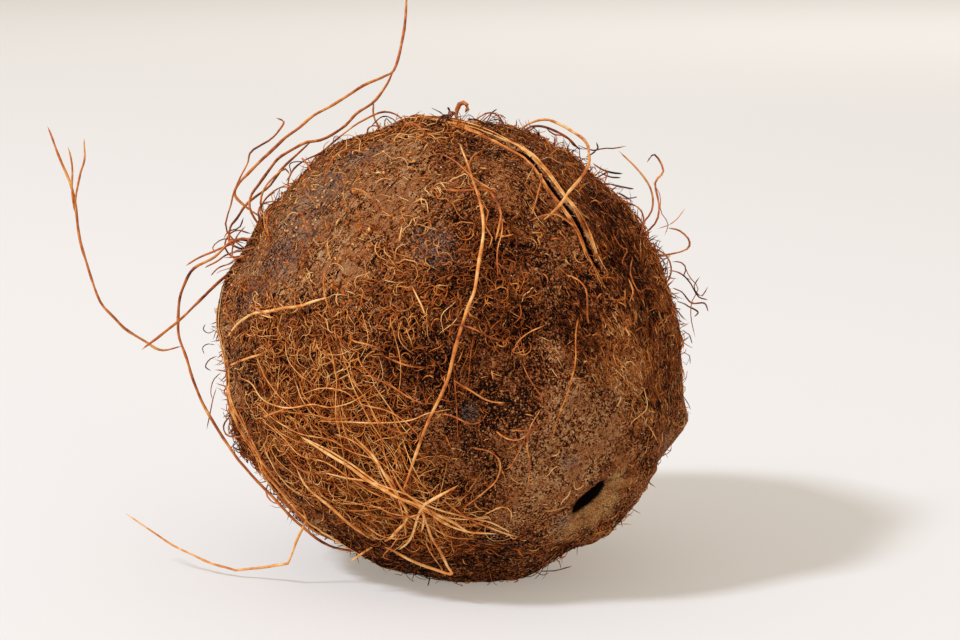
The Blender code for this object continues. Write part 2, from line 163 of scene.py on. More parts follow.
def new_material(name: str, roughness: float,
                 specular: float) -> tuple[bpy.types.Material, NodeMaker, bpy.types.Node]:
    """Start a material.

    Args:
        name: The material's name.
        roughness: The surface's roughness.
        specular: The strength of its gloss.

    Returns:
        The material, a maker of nodes in its tree, and its main shader.
    """
    material = bpy.data.materials.new(name)
    material.use_nodes = True
    shader = material.node_tree.nodes["Principled BSDF"]
    shader.inputs["Roughness"].default_value = roughness
    shader.inputs["Specular IOR Level"].default_value = specular
    return material, NodeMaker(material.node_tree), shader


def lattice_noise(points: np.ndarray, size: float, seed: int) -> np.ndarray:
    """Return smooth random values from about -1 to 1 in space.

    Space is cut into cubes of edge size. Each corner has a value hashed from its whole-number coordinates,
    and a point takes its cube's eight corner values, weighted by 3t^2 - 2t^3 along each edge.

    Args:
        points: Points, with x, y and z last.
        size: The cubes' edge, in the points' unit.
        seed: Picks the random values.

    Returns:
        One value a point.
    """
    scaled = points / size + seed * 17.31
    cell = np.floor(scaled).astype(np.int64)
    part = scaled - cell
    part = part * part * (3 - 2 * part)
    total = np.zeros(points.shape[:-1])
    for corner in itertools.product((0, 1), repeat=3):
        key = (cell + np.array(corner)) @ np.array((73856093, 19349663, 83492791)) + seed * 26544357
        key = ((key ^ (key >> 13)) * 1274126177) & 0x7FFFFFFF
        value = ((key ^ (key >> 15)) & 0xFFFF) / 32767.5 - 1
        total += value * np.prod(np.where(corner, part, 1 - part), axis=-1)
    return total


def bell(distance: np.ndarray, width: float) -> np.ndarray:
    """Return a smooth bump of height 1: e to the minus (distance / width) squared."""
    return np.exp(-((distance / width) ** 2))


def direction(from_pole: np.ndarray | float, round_pole: np.ndarray | float) -> np.ndarray:
    """Return the unit vector at two angles, in radians, in the nut's own axes."""
    flank = np.sin(from_pole)
    return np.stack([flank * np.cos(round_pole), flank * np.sin(round_pole), np.cos(from_pole)], axis=-1)


def unit_rows(vectors: np.ndarray) -> np.ndarray:
    """Return the vectors at length 1."""
    return vectors / np.maximum(np.linalg.norm(vectors, axis=-1, keepdims=True), 1e-12)


def put_mesh(name: str, vertices: np.ndarray, faces: list[np.ndarray], material: bpy.types.Material,
             attributes: dict[str, np.ndarray]) -> bpy.types.Object:
    """Put computed vertices and faces into a new smooth object at the origin.

    Args:
        name: The object's name.
        vertices: Vertex places, one row each.
        faces: Arrays of faces, each with one row of vertex numbers a face.
        material: The object's material.
        attributes: One value or one vector a vertex, by attribute name.

    Returns:
        The object, linked to the scene.
    """
    mesh = bpy.data.meshes.new(name)
    corners = np.concatenate([part.ravel() for part in faces]).astype(np.int32)
    sizes = np.concatenate([np.full(len(part), part.shape[1]) for part in faces])
    starts = np.concatenate([[0], np.cumsum(sizes)[:-1]]).astype(np.int32)
    mesh.vertices.add(len(vertices))
    mesh.vertices.foreach_set("co", vertices.astype(np.float32).ravel())
    mesh.loops.add(len(corners))
    mesh.loops.foreach_set("vertex_index", corners)
    mesh.polygons.add(len(starts))
    mesh.polygons.foreach_set("loop_start", starts)
    mesh.update(calc_edges=True)
    mesh.shade_smooth()
    for key, values in attributes.items():
        kind, slot = ("FLOAT_VECTOR", "vector") if values.ndim == 2 else ("FLOAT", "value")
        layer = mesh.attributes.new(key, kind, "POINT")
        layer.data.foreach_set(slot, values.astype(np.float32).ravel())
    mesh.materials.append(material)
    piece = bpy.data.objects.new(name, mesh)
    bpy.context.scene.collection.objects.link(piece)
    return piece


def tube_faces(count: int, rings: int, sides: int) -> np.ndarray:
    """Return the triangles of a bundle of closed tubes, each a first tip, its rings and a last tip.

    Args:
        count: How many tubes.
        rings: Rings in each tube.
        sides: Corners in each ring.

    Returns:
        Vertex numbers, three a triangle, facing outwards.
    """
    corner = np.arange(sides)
    following = (corner + 1) % sides
    start = 1 + np.arange(rings - 1)[:, None] * sides
    a, b, c, d = start + corner, start + following, start + sides + following, start + sides + corner
    walls = np.concatenate([np.stack([a, b, c], -1).reshape(-1, 3), np.stack([a, c, d], -1).reshape(-1, 3)])
    last = 1 + (rings - 1) * sides
    first_cap = np.stack([0 * corner, 1 + following, 1 + corner], -1)
    last_cap = np.stack([0 * corner + last + sides, last + corner, last + following], -1)
    one = np.concatenate([walls, first_cap, last_cap])
    return (one + (np.arange(count) * (rings * sides + 2))[:, None, None]).reshape(-1, 3)


def tube_bundle(paths: np.ndarray, radii: np.ndarray, sides: int, away: np.ndarray) -> np.ndarray:
    """Return the vertices of closed tubes along many paths at once.

    Each ring's corners lie at path + radius (cos a side + sin a rise), where side is the path's heading
    crossed with the direction from a far point, and rise is the heading crossed with side.

    Args:
        paths: Places, as tube, step and xyz.
        radii: The radius at each tube's steps.
        sides: Corners in each ring.
        away: The far point that the rings are turned from.

    Returns:
        Vertex places: for each tube its first tip, its rings, and its last tip.
    """
    heading = unit_rows(np.gradient(paths, axis=1))
    side = unit_rows(np.cross(heading, unit_rows(paths - away) + (0.02, 0.03, 0.01)))
    rise = np.cross(heading, side)
    turn = np.arange(sides) * 2 * math.pi / sides
    spokes = side[:, 1:-1, None] * np.cos(turn)[:, None] + rise[:, 1:-1, None] * np.sin(turn)[:, None]
    rings = paths[:, 1:-1, None] + spokes * radii[:, 1:-1, None, None]
    body = rings.reshape(len(paths), -1, 3)
    return np.concatenate([paths[:, :1], body, paths[:, -1:]], axis=1).reshape(-1, 3)


def per_ring(values: np.ndarray, sides: int) -> np.ndarray:
    """Spread one value a path step over a tube bundle's vertices.

    Args:
        values: One value for each tube and step.
        sides: Corners in each ring.

    Returns:
        One value a vertex, in the order of tube_bundle.
    """
    body = np.repeat(values[:, 1:-1], sides, axis=1)
    return np.concatenate([values[:, :1], body, values[:, -1:]], axis=1).ravel()


def put_tubes(name: str, paths: np.ndarray, radii: np.ndarray, tones: np.ndarray, sides: int,
              material: bpy.types.Material) -> bpy.types.Object:
    """Put closed tubes along paths with equally many steps into a new object.

    Args:
        name: The object's name.
        paths: Places, as tube, step and xyz.
        radii: The radius at each tube's steps.
        tones: How light each tube is at its steps.
        sides: Corners in each ring.
        material: The object's material.

    Returns:
        The object, linked to the scene.
    """
    vertices = tube_bundle(paths, radii, sides, NUT.centre)
    faces = tube_faces(len(paths), paths.shape[1] - 2, sides)
    return put_mesh(name, vertices, [faces], material, {"tone": per_ring(tones, sides)})


@dataclass(frozen=True)
class NutShape:
    """The egg shape of the shell, with its sutures, eyes and relief, as the solid has them."""

    flank_radius: float = 55.3 * MM
    eye_end_length: float = 59.6 * MM
    blossom_end_length: float = 54.2 * MM
    centre_height: float = 55.8 * MM
    lobe_rise: float = 0.9 * MM
    wall: float = 6.5 * MM
    axis_azimuth: float = math.radians(27.2)
    eye_end_drop: float = math.radians(37.5)
    suture_roll: float = math.radians(24.0)
    suture_count: int = 3
    suture_lean: float = 0.4
    lean_start: float = math.radians(82.0)
    lean_middle: float = math.radians(92.5)
    lean_reach: float = math.radians(32.5)
    lip_offset: float = 1.5 * MM
    lip_width: float = 0.95 * MM
    lip_height: float = 1.2 * MM
    lip_tone_width: float = 0.7 * MM
    groove_depth: float = 1.2 * MM
    split_start: float = math.radians(55.0)
    split_fade: float = math.radians(20.0)
    pole_rib_height: float = 1.6 * MM
    flank_rib_height: float = 0.3 * MM
    rib_width: float = 4.5 * MM
    eyes: tuple = (
        (math.radians(21.5), math.radians(62.0), 0.8 * MM),
        (math.radians(13.5), math.radians(-70.0), 3.6 * MM),
        (math.radians(20.0), math.radians(180.0), 1.4 * MM),
    )
    pit_depth: float = 3.2 * MM
    pit_radius: float = 6.4 * MM
    brow_offset: float = 9.4 * MM
    brow_width: float = 4.6 * MM
    relief_seed: int = 22
    relief_waves: int = 18
    relief_height: float = 0.17 * MM
    relief_wavelengths: tuple = (13.0 * MM, 26.0 * MM)
    matting_depth: float = 0.8 * MM
    to_row: np.ndarray = field(init=False, repr=False)
    centre: np.ndarray = field(init=False, repr=False)

    def __post_init__(self) -> None:
        """Work out the turn from the nut's own axes (upper suture, cross, eye end) to the row's axes."""
        level = math.cos(self.eye_end_drop)
        ahead, aside = math.cos(self.axis_azimuth), math.sin(self.axis_azimuth)
        eye_end = Vector((level * ahead, level * aside, -math.sin(self.eye_end_drop)))
        upper = (Vector((0, 0, 1)) - eye_end * eye_end.z).normalized()
        suture = upper * math.cos(self.suture_roll) + eye_end.cross(upper) * math.sin(self.suture_roll)
        turn = Matrix((suture, eye_end.cross(suture), eye_end)).transposed()
        object.__setattr__(self, "to_row", np.array(turn))
        object.__setattr__(self, "centre", np.array((0.0, 0.0, self.centre_height)))

    def from_pole(self, unit: np.ndarray) -> np.ndarray:
        """Return the angle of each direction from the eye end's pole."""
        return np.arccos(np.clip(unit[..., 2], -1, 1))

    def suture_turn(self, from_pole: np.ndarray) -> np.ndarray:
        """Return how far a suture leans round the nut: -0.4 (10.5 + 32.5 tanh((p - 92.5) / 32.5)) degrees."""
        beyond = self.lean_reach * np.tanh((from_pole - self.lean_middle) / self.lean_reach)
        return -self.suture_lean * (self.lean_middle - self.lean_start + beyond)

    def across_suture(self, unit: np.ndarray) -> np.ndarray:
        """Return each direction's distance from the nearest suture, along the surface and signed."""
        third = 2 * math.pi / self.suture_count
        around = np.arctan2(unit[..., 1], unit[..., 0]) - self.suture_turn(self.from_pole(unit))
        off_suture = (around + third / 2) % third - third / 2
        return off_suture * np.hypot(unit[..., 0], unit[..., 1]) * self.flank_radius

    def split(self, unit: np.ndarray) -> np.ndarray:
        """Return how far the suture has split at each direction: 0 near the eyes to 1 along the flank."""
        return np.clip((self.from_pole(unit) - self.split_start) / self.split_fade, 0, 1)

    def lips(self, unit: np.ndarray) -> np.ndarray:
        """Return how close each direction is to a lip of a split suture, from 0 to 1."""
        off_lip = np.abs(self.across_suture(unit)) - self.lip_offset
        return bell(off_lip, self.lip_tone_width) * self.split(unit)

    def husk_relief(self, points: np.ndarray) -> np.ndarray:
        """Return the matted husk's low relief: the solid's seeded sum of plane waves through space."""
        draw = random.Random(self.relief_seed)
        total = np.zeros(points.shape[:-1])
        for _ in range(self.relief_waves):
            heading = Vector([draw.gauss(0, 1) for _ in range(3)]).normalized()
            wave_number = 2 * math.pi / draw.uniform(*self.relief_wavelengths)
            total += np.sin(points @ np.array(heading) * wave_number + draw.uniform(0, 2 * math.pi))
        return total * self.relief_height

    def suture_profile(self, unit: np.ndarray) -> np.ndarray:
        """Return the height of the nearest suture: a rounded rib, with two lips and a groove on the flank."""
        across = self.across_suture(unit)
        lips = bell(across - self.lip_offset, self.lip_width) + bell(across + self.lip_offset, self.lip_width)
        split = self.lip_height * lips - self.groove_depth * bell(across, self.lip_width)
        towards_eyes = np.clip(unit[..., 2], 0, 1)
        rib_height = self.flank_rib_height + (self.pole_rib_height - self.flank_rib_height) * towards_eyes
        return rib_height * bell(across, self.rib_width) + split * self.split(unit)

    def eye_profile(self, unit: np.ndarray) -> np.ndarray:
        """Return the height of the three eyes: a pit each, with a curved brow away from the pole."""
        total = np.zeros(unit.shape[:-1])
        for from_pole, round_pole, brow_height in self.eyes:
            to_pit = np.arccos(np.clip(unit @ direction(from_pole, round_pole), -1, 1)) * self.flank_radius
            beyond_pit = (self.from_pole(unit) - from_pole) * self.flank_radius
            facing_away = np.clip(beyond_pit / np.maximum(to_pit, MM), 0, 1) ** 2
            total += brow_height * bell(to_pit - self.brow_offset, self.brow_width) * facing_away
            total -= self.pit_depth * np.exp(-((to_pit / self.pit_radius) ** 4))
        return total

    def solid_radius(self, unit: np.ndarray) -> np.ndarray:
        """Return the distance from the nut's centre to the solid's outer surface.

        The egg is 1 / sqrt((flank / flank radius)^2 + (z / end length)^2), plus three low lobes of
        rise flank^2 cos(3 around), the sutures, the eyes and the relief.
        """
        length = np.where(unit[..., 2] > 0, self.eye_end_length, self.blossom_end_length)
        flank = np.hypot(unit[..., 0], unit[..., 1])
        egg = 1 / np.sqrt((flank / self.flank_radius) ** 2 + (unit[..., 2] / length) ** 2)
        lobes = self.lobe_rise * flank**2 * np.cos(self.suture_count * np.arctan2(unit[..., 1], unit[..., 0]))
        rest = self.suture_profile(unit) + self.eye_profile(unit) + self.husk_relief(unit * egg[..., None])
        return egg + lobes + rest

    def hollow_radius(self, unit: np.ndarray) -> np.ndarray:
        """Return the distance from the centre to the hollow's wall: the plain egg, a wall further in."""
        length = np.where(unit[..., 2] > 0, self.eye_end_length, self.blossom_end_length) - self.wall
        flank = np.hypot(unit[..., 0], unit[..., 1])
        return 1 / np.sqrt((flank / (self.flank_radius - self.wall)) ** 2 + (unit[..., 2] / length) ** 2)

    def grain(self, unit: np.ndarray, across: float, along: float) -> np.ndarray:
        """Return points in which a lattice noise of size 1 is stretched from pole to pole.

        Args:
            unit: Directions in the nut's axes.
            across: The pattern's size round the nut.
            along: The pattern's size from pole to pole.

        Returns:
            (R cos a / across, R sin a / across, R p / along), with a the angle round and p from the pole.
        """
        flank = np.maximum(np.hypot(unit[..., 0], unit[..., 1]), 0.05)
        ring = unit[..., :2] / flank[..., None] * self.flank_radius / across
        rise = self.from_pole(unit)[..., None] * self.flank_radius / along
        return np.concatenate([ring, rise], axis=-1)

    def place(self, unit: np.ndarray, distance: np.ndarray) -> np.ndarray:
        """Return places in the row's axes, at a distance from the centre along each direction."""
        return self.centre + (unit * distance[..., None]) @ self.to_row.T

    def directions_of(self, points: np.ndarray) -> np.ndarray:
        """Return the directions, in the nut's axes, of places in the row's axes."""
        return unit_rows((points - self.centre) @ self.to_row)


NUT = NutShape()


@dataclass(frozen=True)
class FrontSide:
    """The side that routes and patches are described from, and where the camera stands."""

    azimuth: float = math.radians(45.5)
    elevation: float = math.radians(10.0)
    distance: float = 556.0 * MM
    aim_right: float = 8.1 * MM
    aim_up: float = 5.4 * MM
    scale: float = 0.2456

    def axes(self) -> tuple[np.ndarray, np.ndarray, np.ndarray]:
        """Return the unit vectors to the right, upwards and towards the viewer."""
        a, e = self.azimuth, self.elevation
        across = np.array((math.cos(a), math.sin(a), 0.0))
        back = np.array((math.sin(a) * math.cos(e), -math.cos(a) * math.cos(e), math.sin(e)))
        return across, np.cross(back, across), back

    def viewer(self) -> np.ndarray:
        """Return the place of the viewer's eye."""
        across, rise, back = self.axes()
        return NUT.centre + across * self.aim_right + rise * self.aim_up + back * self.distance

    def shown_reach(self, paths: np.ndarray) -> np.ndarray:
        """Return how far from the nut's centre each path shows at its furthest."""
        across, rise, _ = self.axes()
        offset = paths - NUT.centre
        return np.hypot(offset @ across, offset @ rise).max(axis=-1)

    def in_millimetres(self, picture: np.ndarray) -> tuple[np.ndarray, np.ndarray]:
        """Return how far right and up of the nut's centre, at (447, 342), places in the picture lie."""
        return (picture[:, 0] - 447) * self.scale, (342 - picture[:, 1]) * self.scale

    def on_sight_line(self, right: np.ndarray, up: np.ndarray, towards: np.ndarray) -> np.ndarray:
        """Return places seen (right, up) millimetres from the nut's centre, that far towards the viewer."""
        across, rise, _ = self.axes()
        seen = NUT.centre + (across * right[:, None] + rise * up[:, None]) * MM
        return self.viewer() + (seen - self.viewer()) * (1 - towards[:, None] * MM / self.distance)

    def lay_on_shell(self, right: np.ndarray, up: np.ndarray, lift: float) -> np.ndarray:
        """Return the places on sight lines that lie a little above the shell, found by halving.

        Args:
            right: Millimetres to the right of the nut's centre.
            up: Millimetres above the nut's centre.
            lift: Height above the shell's surface.

        Returns:
            One place for each sight line.
        """
        near, far = np.zeros(len(right)), np.full(len(right), NUT.flank_radius * 1.4 / MM)
        for _ in range(HALVINGS):
            middle = (near + far) / 2
            places = self.on_sight_line(right, up, middle)
            unit = NUT.directions_of(places)
            below = np.linalg.norm(places - NUT.centre, axis=-1) - NUT.solid_radius(unit) < lift
            near, far = np.where(below, middle, near), np.where(below, far, middle)
        return self.on_sight_line(right, up, near)


FRONT = FrontSide()


class Ground(Enum):
    """What the nut's surface is like, patch by patch."""

    GOLDEN = "thick with long golden fibres"
    CURLY = "thick with short tight curls"
    BARK = "flaky, as bark"
    SMOOTH = "smooth and matted, with few fibres"
    SCRAPED = "scraped down to tan shell"
    DISC = "the open eye's bare disc"
    RIDGE = "dark ridge round the eyes"
    DUSTY = "grey with dust"
    COMBED = "combed straight from pole to pole"
    STREAKED = "streaked with tan fibres that lie flat"
    RAGGED = "ragged edge of standing hairs"
    # Dark felt, sunk a little: its darkness is partly the felt's own colour and partly painted shade, as on
    # the side away from the key light
    DARK_FELT_AND_SHADE = "deep dark felt"


# Patches as the front side shows them: right, up and radius in millimetres
FRONT_PATCHES = {
    Ground.GOLDEN: ((-37, -22, 14), (-29, -32, 14), (-16, -38, 12), (-2, -46, 10), (-41, -10, 10)),
    Ground.CURLY: (
        (-42, -1, 11), (-26, 5, 9), (-12, 18, 7), (10, 26, 8), (14, 14, 7), (16, 4, 6), (1, 38, 8),
        (-4, 27, 7), (2, 12, 7), (-16, -16, 8), (46, 34, 4), (37, 23, 4), (-28, -8, 12), (-46, 6, 6),
        (50, 24, 3.5),
    ),
    Ground.BARK: (
        (-31, 35, 18), (-14, 46, 12), (-48, 20, 10), (-26, 21, 10), (-54, 6, 4), (-40, 14, 7),
        (-53, -13, 3.5), (-50, -23, 3.5), (-45, -32, 3.5), (-39, -39, 3.5), (-32, -45.5, 3.5),
        (-24, -50.5, 3.5),
    ),
    Ground.SMOOTH: (
        (-12, -7, 10), (6, -14, 13), (22, -8, 9), (-17, 0, 6), (14, -24, 9), (28, 29, 8), (20, 39, 7),
        (12, 46, 5), (27, 14, 8), (-2, 0, 7), (-12, 36, 7),
    ),
    Ground.SCRAPED: (
        (38, -22, 9), (30, -15, 7), (26.5, -2.5, 3.5), (25, -36, 8), (29, -45, 6), (21, -28, 5), (15, -44, 5),
        (33, -30, 7), (26, -25, 7),
    ),
    Ground.DISC: (
        (31.2, -43.5, 3.4), (35.1, -40.8, 3.8), (38.3, -38, 3.8), (41, -34.6, 3.4), (42, -32.4, 2.6),
    ),
    Ground.RIDGE: (
        (54, -25, 5), (45.4, -33.9, 2.6), (43.4, -38.6, 2.4), (39.9, -42.5, 2.4), (35.8, -45.8, 2.4),
        (31.4, -48.4, 2.6), (31, -53, 4), (20, -56, 6), (5, -58, 7), (42.5, -29.5, 2.2), (46, -27, 2.5),
        (54.5, -23.5, 4), (52, -27.5, 3), (38, -50, 3),
    ),
    Ground.DUSTY: (
        (30, -29.5, 2.2), (28, -44, 2.4), (-36, 29, 8), (-31, 38, 7), (54, -25, 4.5), (6, -18, 2),
        (-41, 21, 7), (-48, 12, 6), (-20, 47, 5),
    ),
    Ground.DARK_FELT_AND_SHADE: (
        (4, 30, 10), (-55, -16, 4.5), (-51.5, -25, 4.5), (-46.5, -33.5, 4.5), (-40.5, -41, 4.5),
        (-32.5, -47.5, 4.5), (8, 22, 13), (18, 6, 10), (2, -2, 9), (22, -10, 8), (8, -14, 8), (45, 20, 11),
        (34, 6, 9), (54.5, -25, 4), (51, -29, 3), (-10, -6, 7), (0, 44, 5), (40, 33, 8),
    ),
    Ground.COMBED: ((47, 20, 22), (38, 3, 13), (28, 38, 10), (50, -4, 14), (36, 44, 10)),
    Ground.STREAKED: ((46, -8, 6), (49, -18, 4), (42, 4, 4)),
    Ground.RAGGED: (
        (19, 54, 3), (23, 53, 3), (27, 51.5, 3), (32, 49, 3), (37, 45.5, 3), (41.5, 41.5, 3), (45.5, 37, 3),
        (49, 32.5, 3), (52, 27.5, 3), (54.5, 22, 3), (56.5, 16, 3), (57.3, 11, 3), (57.5, 6, 2),
        (-58, 4, 3), (-57, -6, 3), (-55, -17, 2.5), (-51, -27, 2.5), (-45.5, -35.5, 2.5), (-38, -43.5, 2.5),
        (3, 58, 3),
    ),
}
# Patches on the sides that the front doesn't show: angle from the eyes, angle round them, radius
HIDDEN_PATCHES = {
    Ground.GOLDEN: ((95, 80, 16), (120, -60, 18), (150, 150, 14)),
    Ground.CURLY: ((70, -130, 15), (100, 130, 15), (130, -10, 14), (85, 50, 12), (75, -95, 10)),
    Ground.BARK: ((110, 20, 18), (80, -80, 14), (130, -150, 16)),
    Ground.SMOOTH: ((60, 60, 10), (90, -100, 10), (120, 100, 10)),
    Ground.SCRAPED: ((30, -120, 10), (34, 150, 9), (22, -70, 12), (24, 180, 12)),
    Ground.RIDGE: ((8, 0, 6), (12, 120, 5), (14, -120, 5)),
    Ground.DUSTY: ((100, 30, 5), (75, -60, 4), (140, -20, 5)),
    Ground.COMBED: ((60, -60, 20), (65, 100, 18), (50, 180, 18)),
    Ground.RAGGED: ((100, -90, 6), (80, 160, 5), (60, -10, 4)),
}


class GroundMap:
    """Says how strongly each kind of ground holds at any direction.

    Two noises roughen the patches' edges. Each is given by its share of the distance, its size and its seed.
    """

    edge_noises: tuple = ((0.28, 5 * MM, 3), (0.14, 1.8 * MM, 4))

    def __init__(self) -> None:
        """Work out each patch's direction and radius."""
        self.patches: dict[Ground, tuple[np.ndarray, np.ndarray]] = {}
        for ground in Ground:
            seen = np.array(FRONT_PATCHES.get(ground, ())).reshape(-1, 3)
            hidden = np.array(HIDDEN_PATCHES.get(ground, ())).reshape(-1, 3)
            places = FRONT.lay_on_shell(seen[:, 0], seen[:, 1], 0.0)
            turned = direction(np.radians(hidden[:, 0]), np.radians(hidden[:, 1]))
            centres = np.concatenate([NUT.directions_of(places), turned])
            self.patches[ground] = centres, np.concatenate([seen[:, 2], hidden[:, 2]]) * MM

    def strength(self, ground: Ground, unit: np.ndarray) -> np.ndarray:
        """Return how strongly a kind of ground holds, from 0 to 1.

        Each patch gives e to the minus (distance / radius)^4, its distance roughened by noise, and the
        strongest patch counts.

        Args:
            ground: The kind of ground.
            unit: Directions in the nut's axes.

        Returns:
            One value a direction.
        """
        centres, radii = self.patches[ground]
        rough = 1.0
        for share, size, seed in self.edge_noises:
            rough = rough + share * lattice_noise(unit * NUT.flank_radius, size, seed)
        total = np.zeros(unit.shape[:-1])
        for centre, radius in zip(centres, radii):
            distance = np.arccos(np.clip(unit @ centre, -1, 1)) * NUT.flank_radius * rough
            total = np.maximum(total, np.exp(-((distance / radius) ** 4)))
        return total


GROUND = GroundMap()
# Sizes of the fine relief. Flakes and lines have theirs round the nut, then from pole to pole
BARK_FLAKE = (7.0 * MM, 2.2 * MM)
COMBED_LINE = (1.6 * MM, 24.0 * MM)
FELT_SIZE = 2.2 * MM


def fine_relief(unit: np.ndarray) -> np.ndarray:
    """Return the height that the matted surface adds to the solid's shape.

    It is the sum of flaky bark (a noise taken as 1 - 2 |noise|), combed lines and felt, each in millimetres
    and where its ground holds, less the matting depth that the fibres over it fill.

    Args:
        unit: Directions in the nut's axes.

    Returns:
        One height a direction.
    """
    bark = GROUND.strength(Ground.BARK, unit)
    smooth = GROUND.strength(Ground.SMOOTH, unit)
    scraped = np.maximum(GROUND.strength(Ground.SCRAPED, unit), GROUND.strength(Ground.DISC, unit))
    bare = np.maximum(scraped, GROUND.strength(Ground.RIDGE, unit))
    flakes = 1 - 2 * np.abs(lattice_noise(NUT.grain(unit, *BARK_FLAKE), 1, 7))
    lines = lattice_noise(NUT.grain(unit, *COMBED_LINE), 1, 8)
    felt = lattice_noise(unit * NUT.flank_radius, FELT_SIZE, 9)
    combed = (1 - bark) * (1 - scraped) * (1 - 0.6 * smooth)
    height = 0.5 * bark * flakes + 0.2 * combed * lines + (0.22 - 0.12 * smooth - 0.1 * scraped) * felt
    return height * MM - NUT.matting_depth * (1 - bare)


# How far dry husk fills the open eye's pit, over a bell of what width, and how much lower the dark felt lies
PIT_FILL = 2.4 * MM
PIT_FILL_WIDTH = 6.5 * MM
FELT_SUNK = 0.9 * MM


def surface_radius(unit: np.ndarray) -> np.ndarray:
    """Return the distance from the centre to the matted surface under the loose fibres."""
    filled = PIT_FILL * bell(from_open_eye(unit), PIT_FILL_WIDTH)
    sunk = FELT_SUNK * GROUND.strength(Ground.DARK_FELT_AND_SHADE, unit)
    return NUT.solid_radius(unit) + fine_relief(unit) + filled - sunk


def from_open_eye(unit: np.ndarray) -> np.ndarray:
    """Return each direction's distance from the open eye, along the surface."""
    hole = direction(*OPEN_EYE)
    return np.arccos(np.clip(unit @ hole, -1, 1)) * NUT.flank_radius


HUSK_TONE = 0.45
# Noises that the husk's tone wanders by: height, size and seed
TONE_NOISES = ((0.05, 11.0 * MM, 11), (0.06, 3.5 * MM, 12))
# What each kind of ground adds to the husk's tone; the dark felt's darkening is partly painted shade
GROUND_TONES = {
    Ground.GOLDEN: -0.07, Ground.CURLY: -0.04, Ground.BARK: 0.25, Ground.SMOOTH: 0.03, Ground.DARK_FELT_AND_SHADE: -0.21,
    Ground.SCRAPED: 0.35, Ground.RIDGE: 0.2, Ground.COMBED: 0.0, Ground.STREAKED: 0.24, Ground.RAGGED: -0.1,
}
LIP_TONE = 0.12
# Painted shade: the husk, and the fibres and crumbs that take its tone, darken towards the underside, where
# the contact shadow falls
UNDERSIDE_PAINTED_SHADE = -0.42
# How far down a direction points, from 0 to 1, where the underside starts, and over what range it fades in
UNDERSIDE_START = 0.66
UNDERSIDE_FADE = 0.3


def tone_field(unit: np.ndarray) -> np.ndarray:
    """Return how light the husk is at each direction, from 0, almost black, to 1, pale gold, with painted
    shade on the underside.

    Args:
        unit: Directions in the nut's axes.

    Returns:
        One value a direction.
    """
    tone = HUSK_TONE
    for height, size, seed in TONE_NOISES:
        tone = tone + height * lattice_noise(unit * NUT.flank_radius, size, seed)
    for ground, shift in GROUND_TONES.items():
        tone += shift * GROUND.strength(ground, unit)
    underside = np.clip((-(unit @ NUT.to_row[2]) - UNDERSIDE_START) / UNDERSIDE_FADE, 0, 1)
    return tone + LIP_TONE * NUT.lips(unit) + UNDERSIDE_PAINTED_SHADE * underside


def bare_ground(unit: np.ndarray) -> np.ndarray:
    """Return how bare of loose fibres each direction is: scraped, on the eye's disc or on the ridge."""
    grounds = (Ground.SCRAPED, Ground.DISC, Ground.RIDGE)
    return np.max([GROUND.strength(ground, unit) for ground in grounds], axis=0)


def seeded_roots(draw: np.random.Generator, count: int, everywhere: float,
                 on_grounds: dict[Ground, float]) -> tuple[np.ndarray, np.ndarray]:
    """Return seeded directions all over the nut, with how much each kind of ground favours them.

    Args:
        draw: A random generator.
        count: How many directions.
        everywhere: The weight that every direction has.
        on_grounds: The weight that each kind of ground adds where it holds.

    Returns:
        The directions and their weights.
    """
    spots = unit_rows(draw.normal(size=(count, 3)))
    weight = np.full(count, everywhere)
    for ground, share in on_grounds.items():
        weight = weight + share * GROUND.strength(ground, spots)
    return spots, np.maximum(weight, 0.001)


def grain_axes(unit: np.ndarray) -> tuple[np.ndarray, np.ndarray]:
    """Return, at each direction, the unit vectors from pole to pole and round the nut."""
    down = unit_rows(np.cross(np.cross(unit, (0, 0, -1.0)), unit))
    return down, np.cross(unit, down)


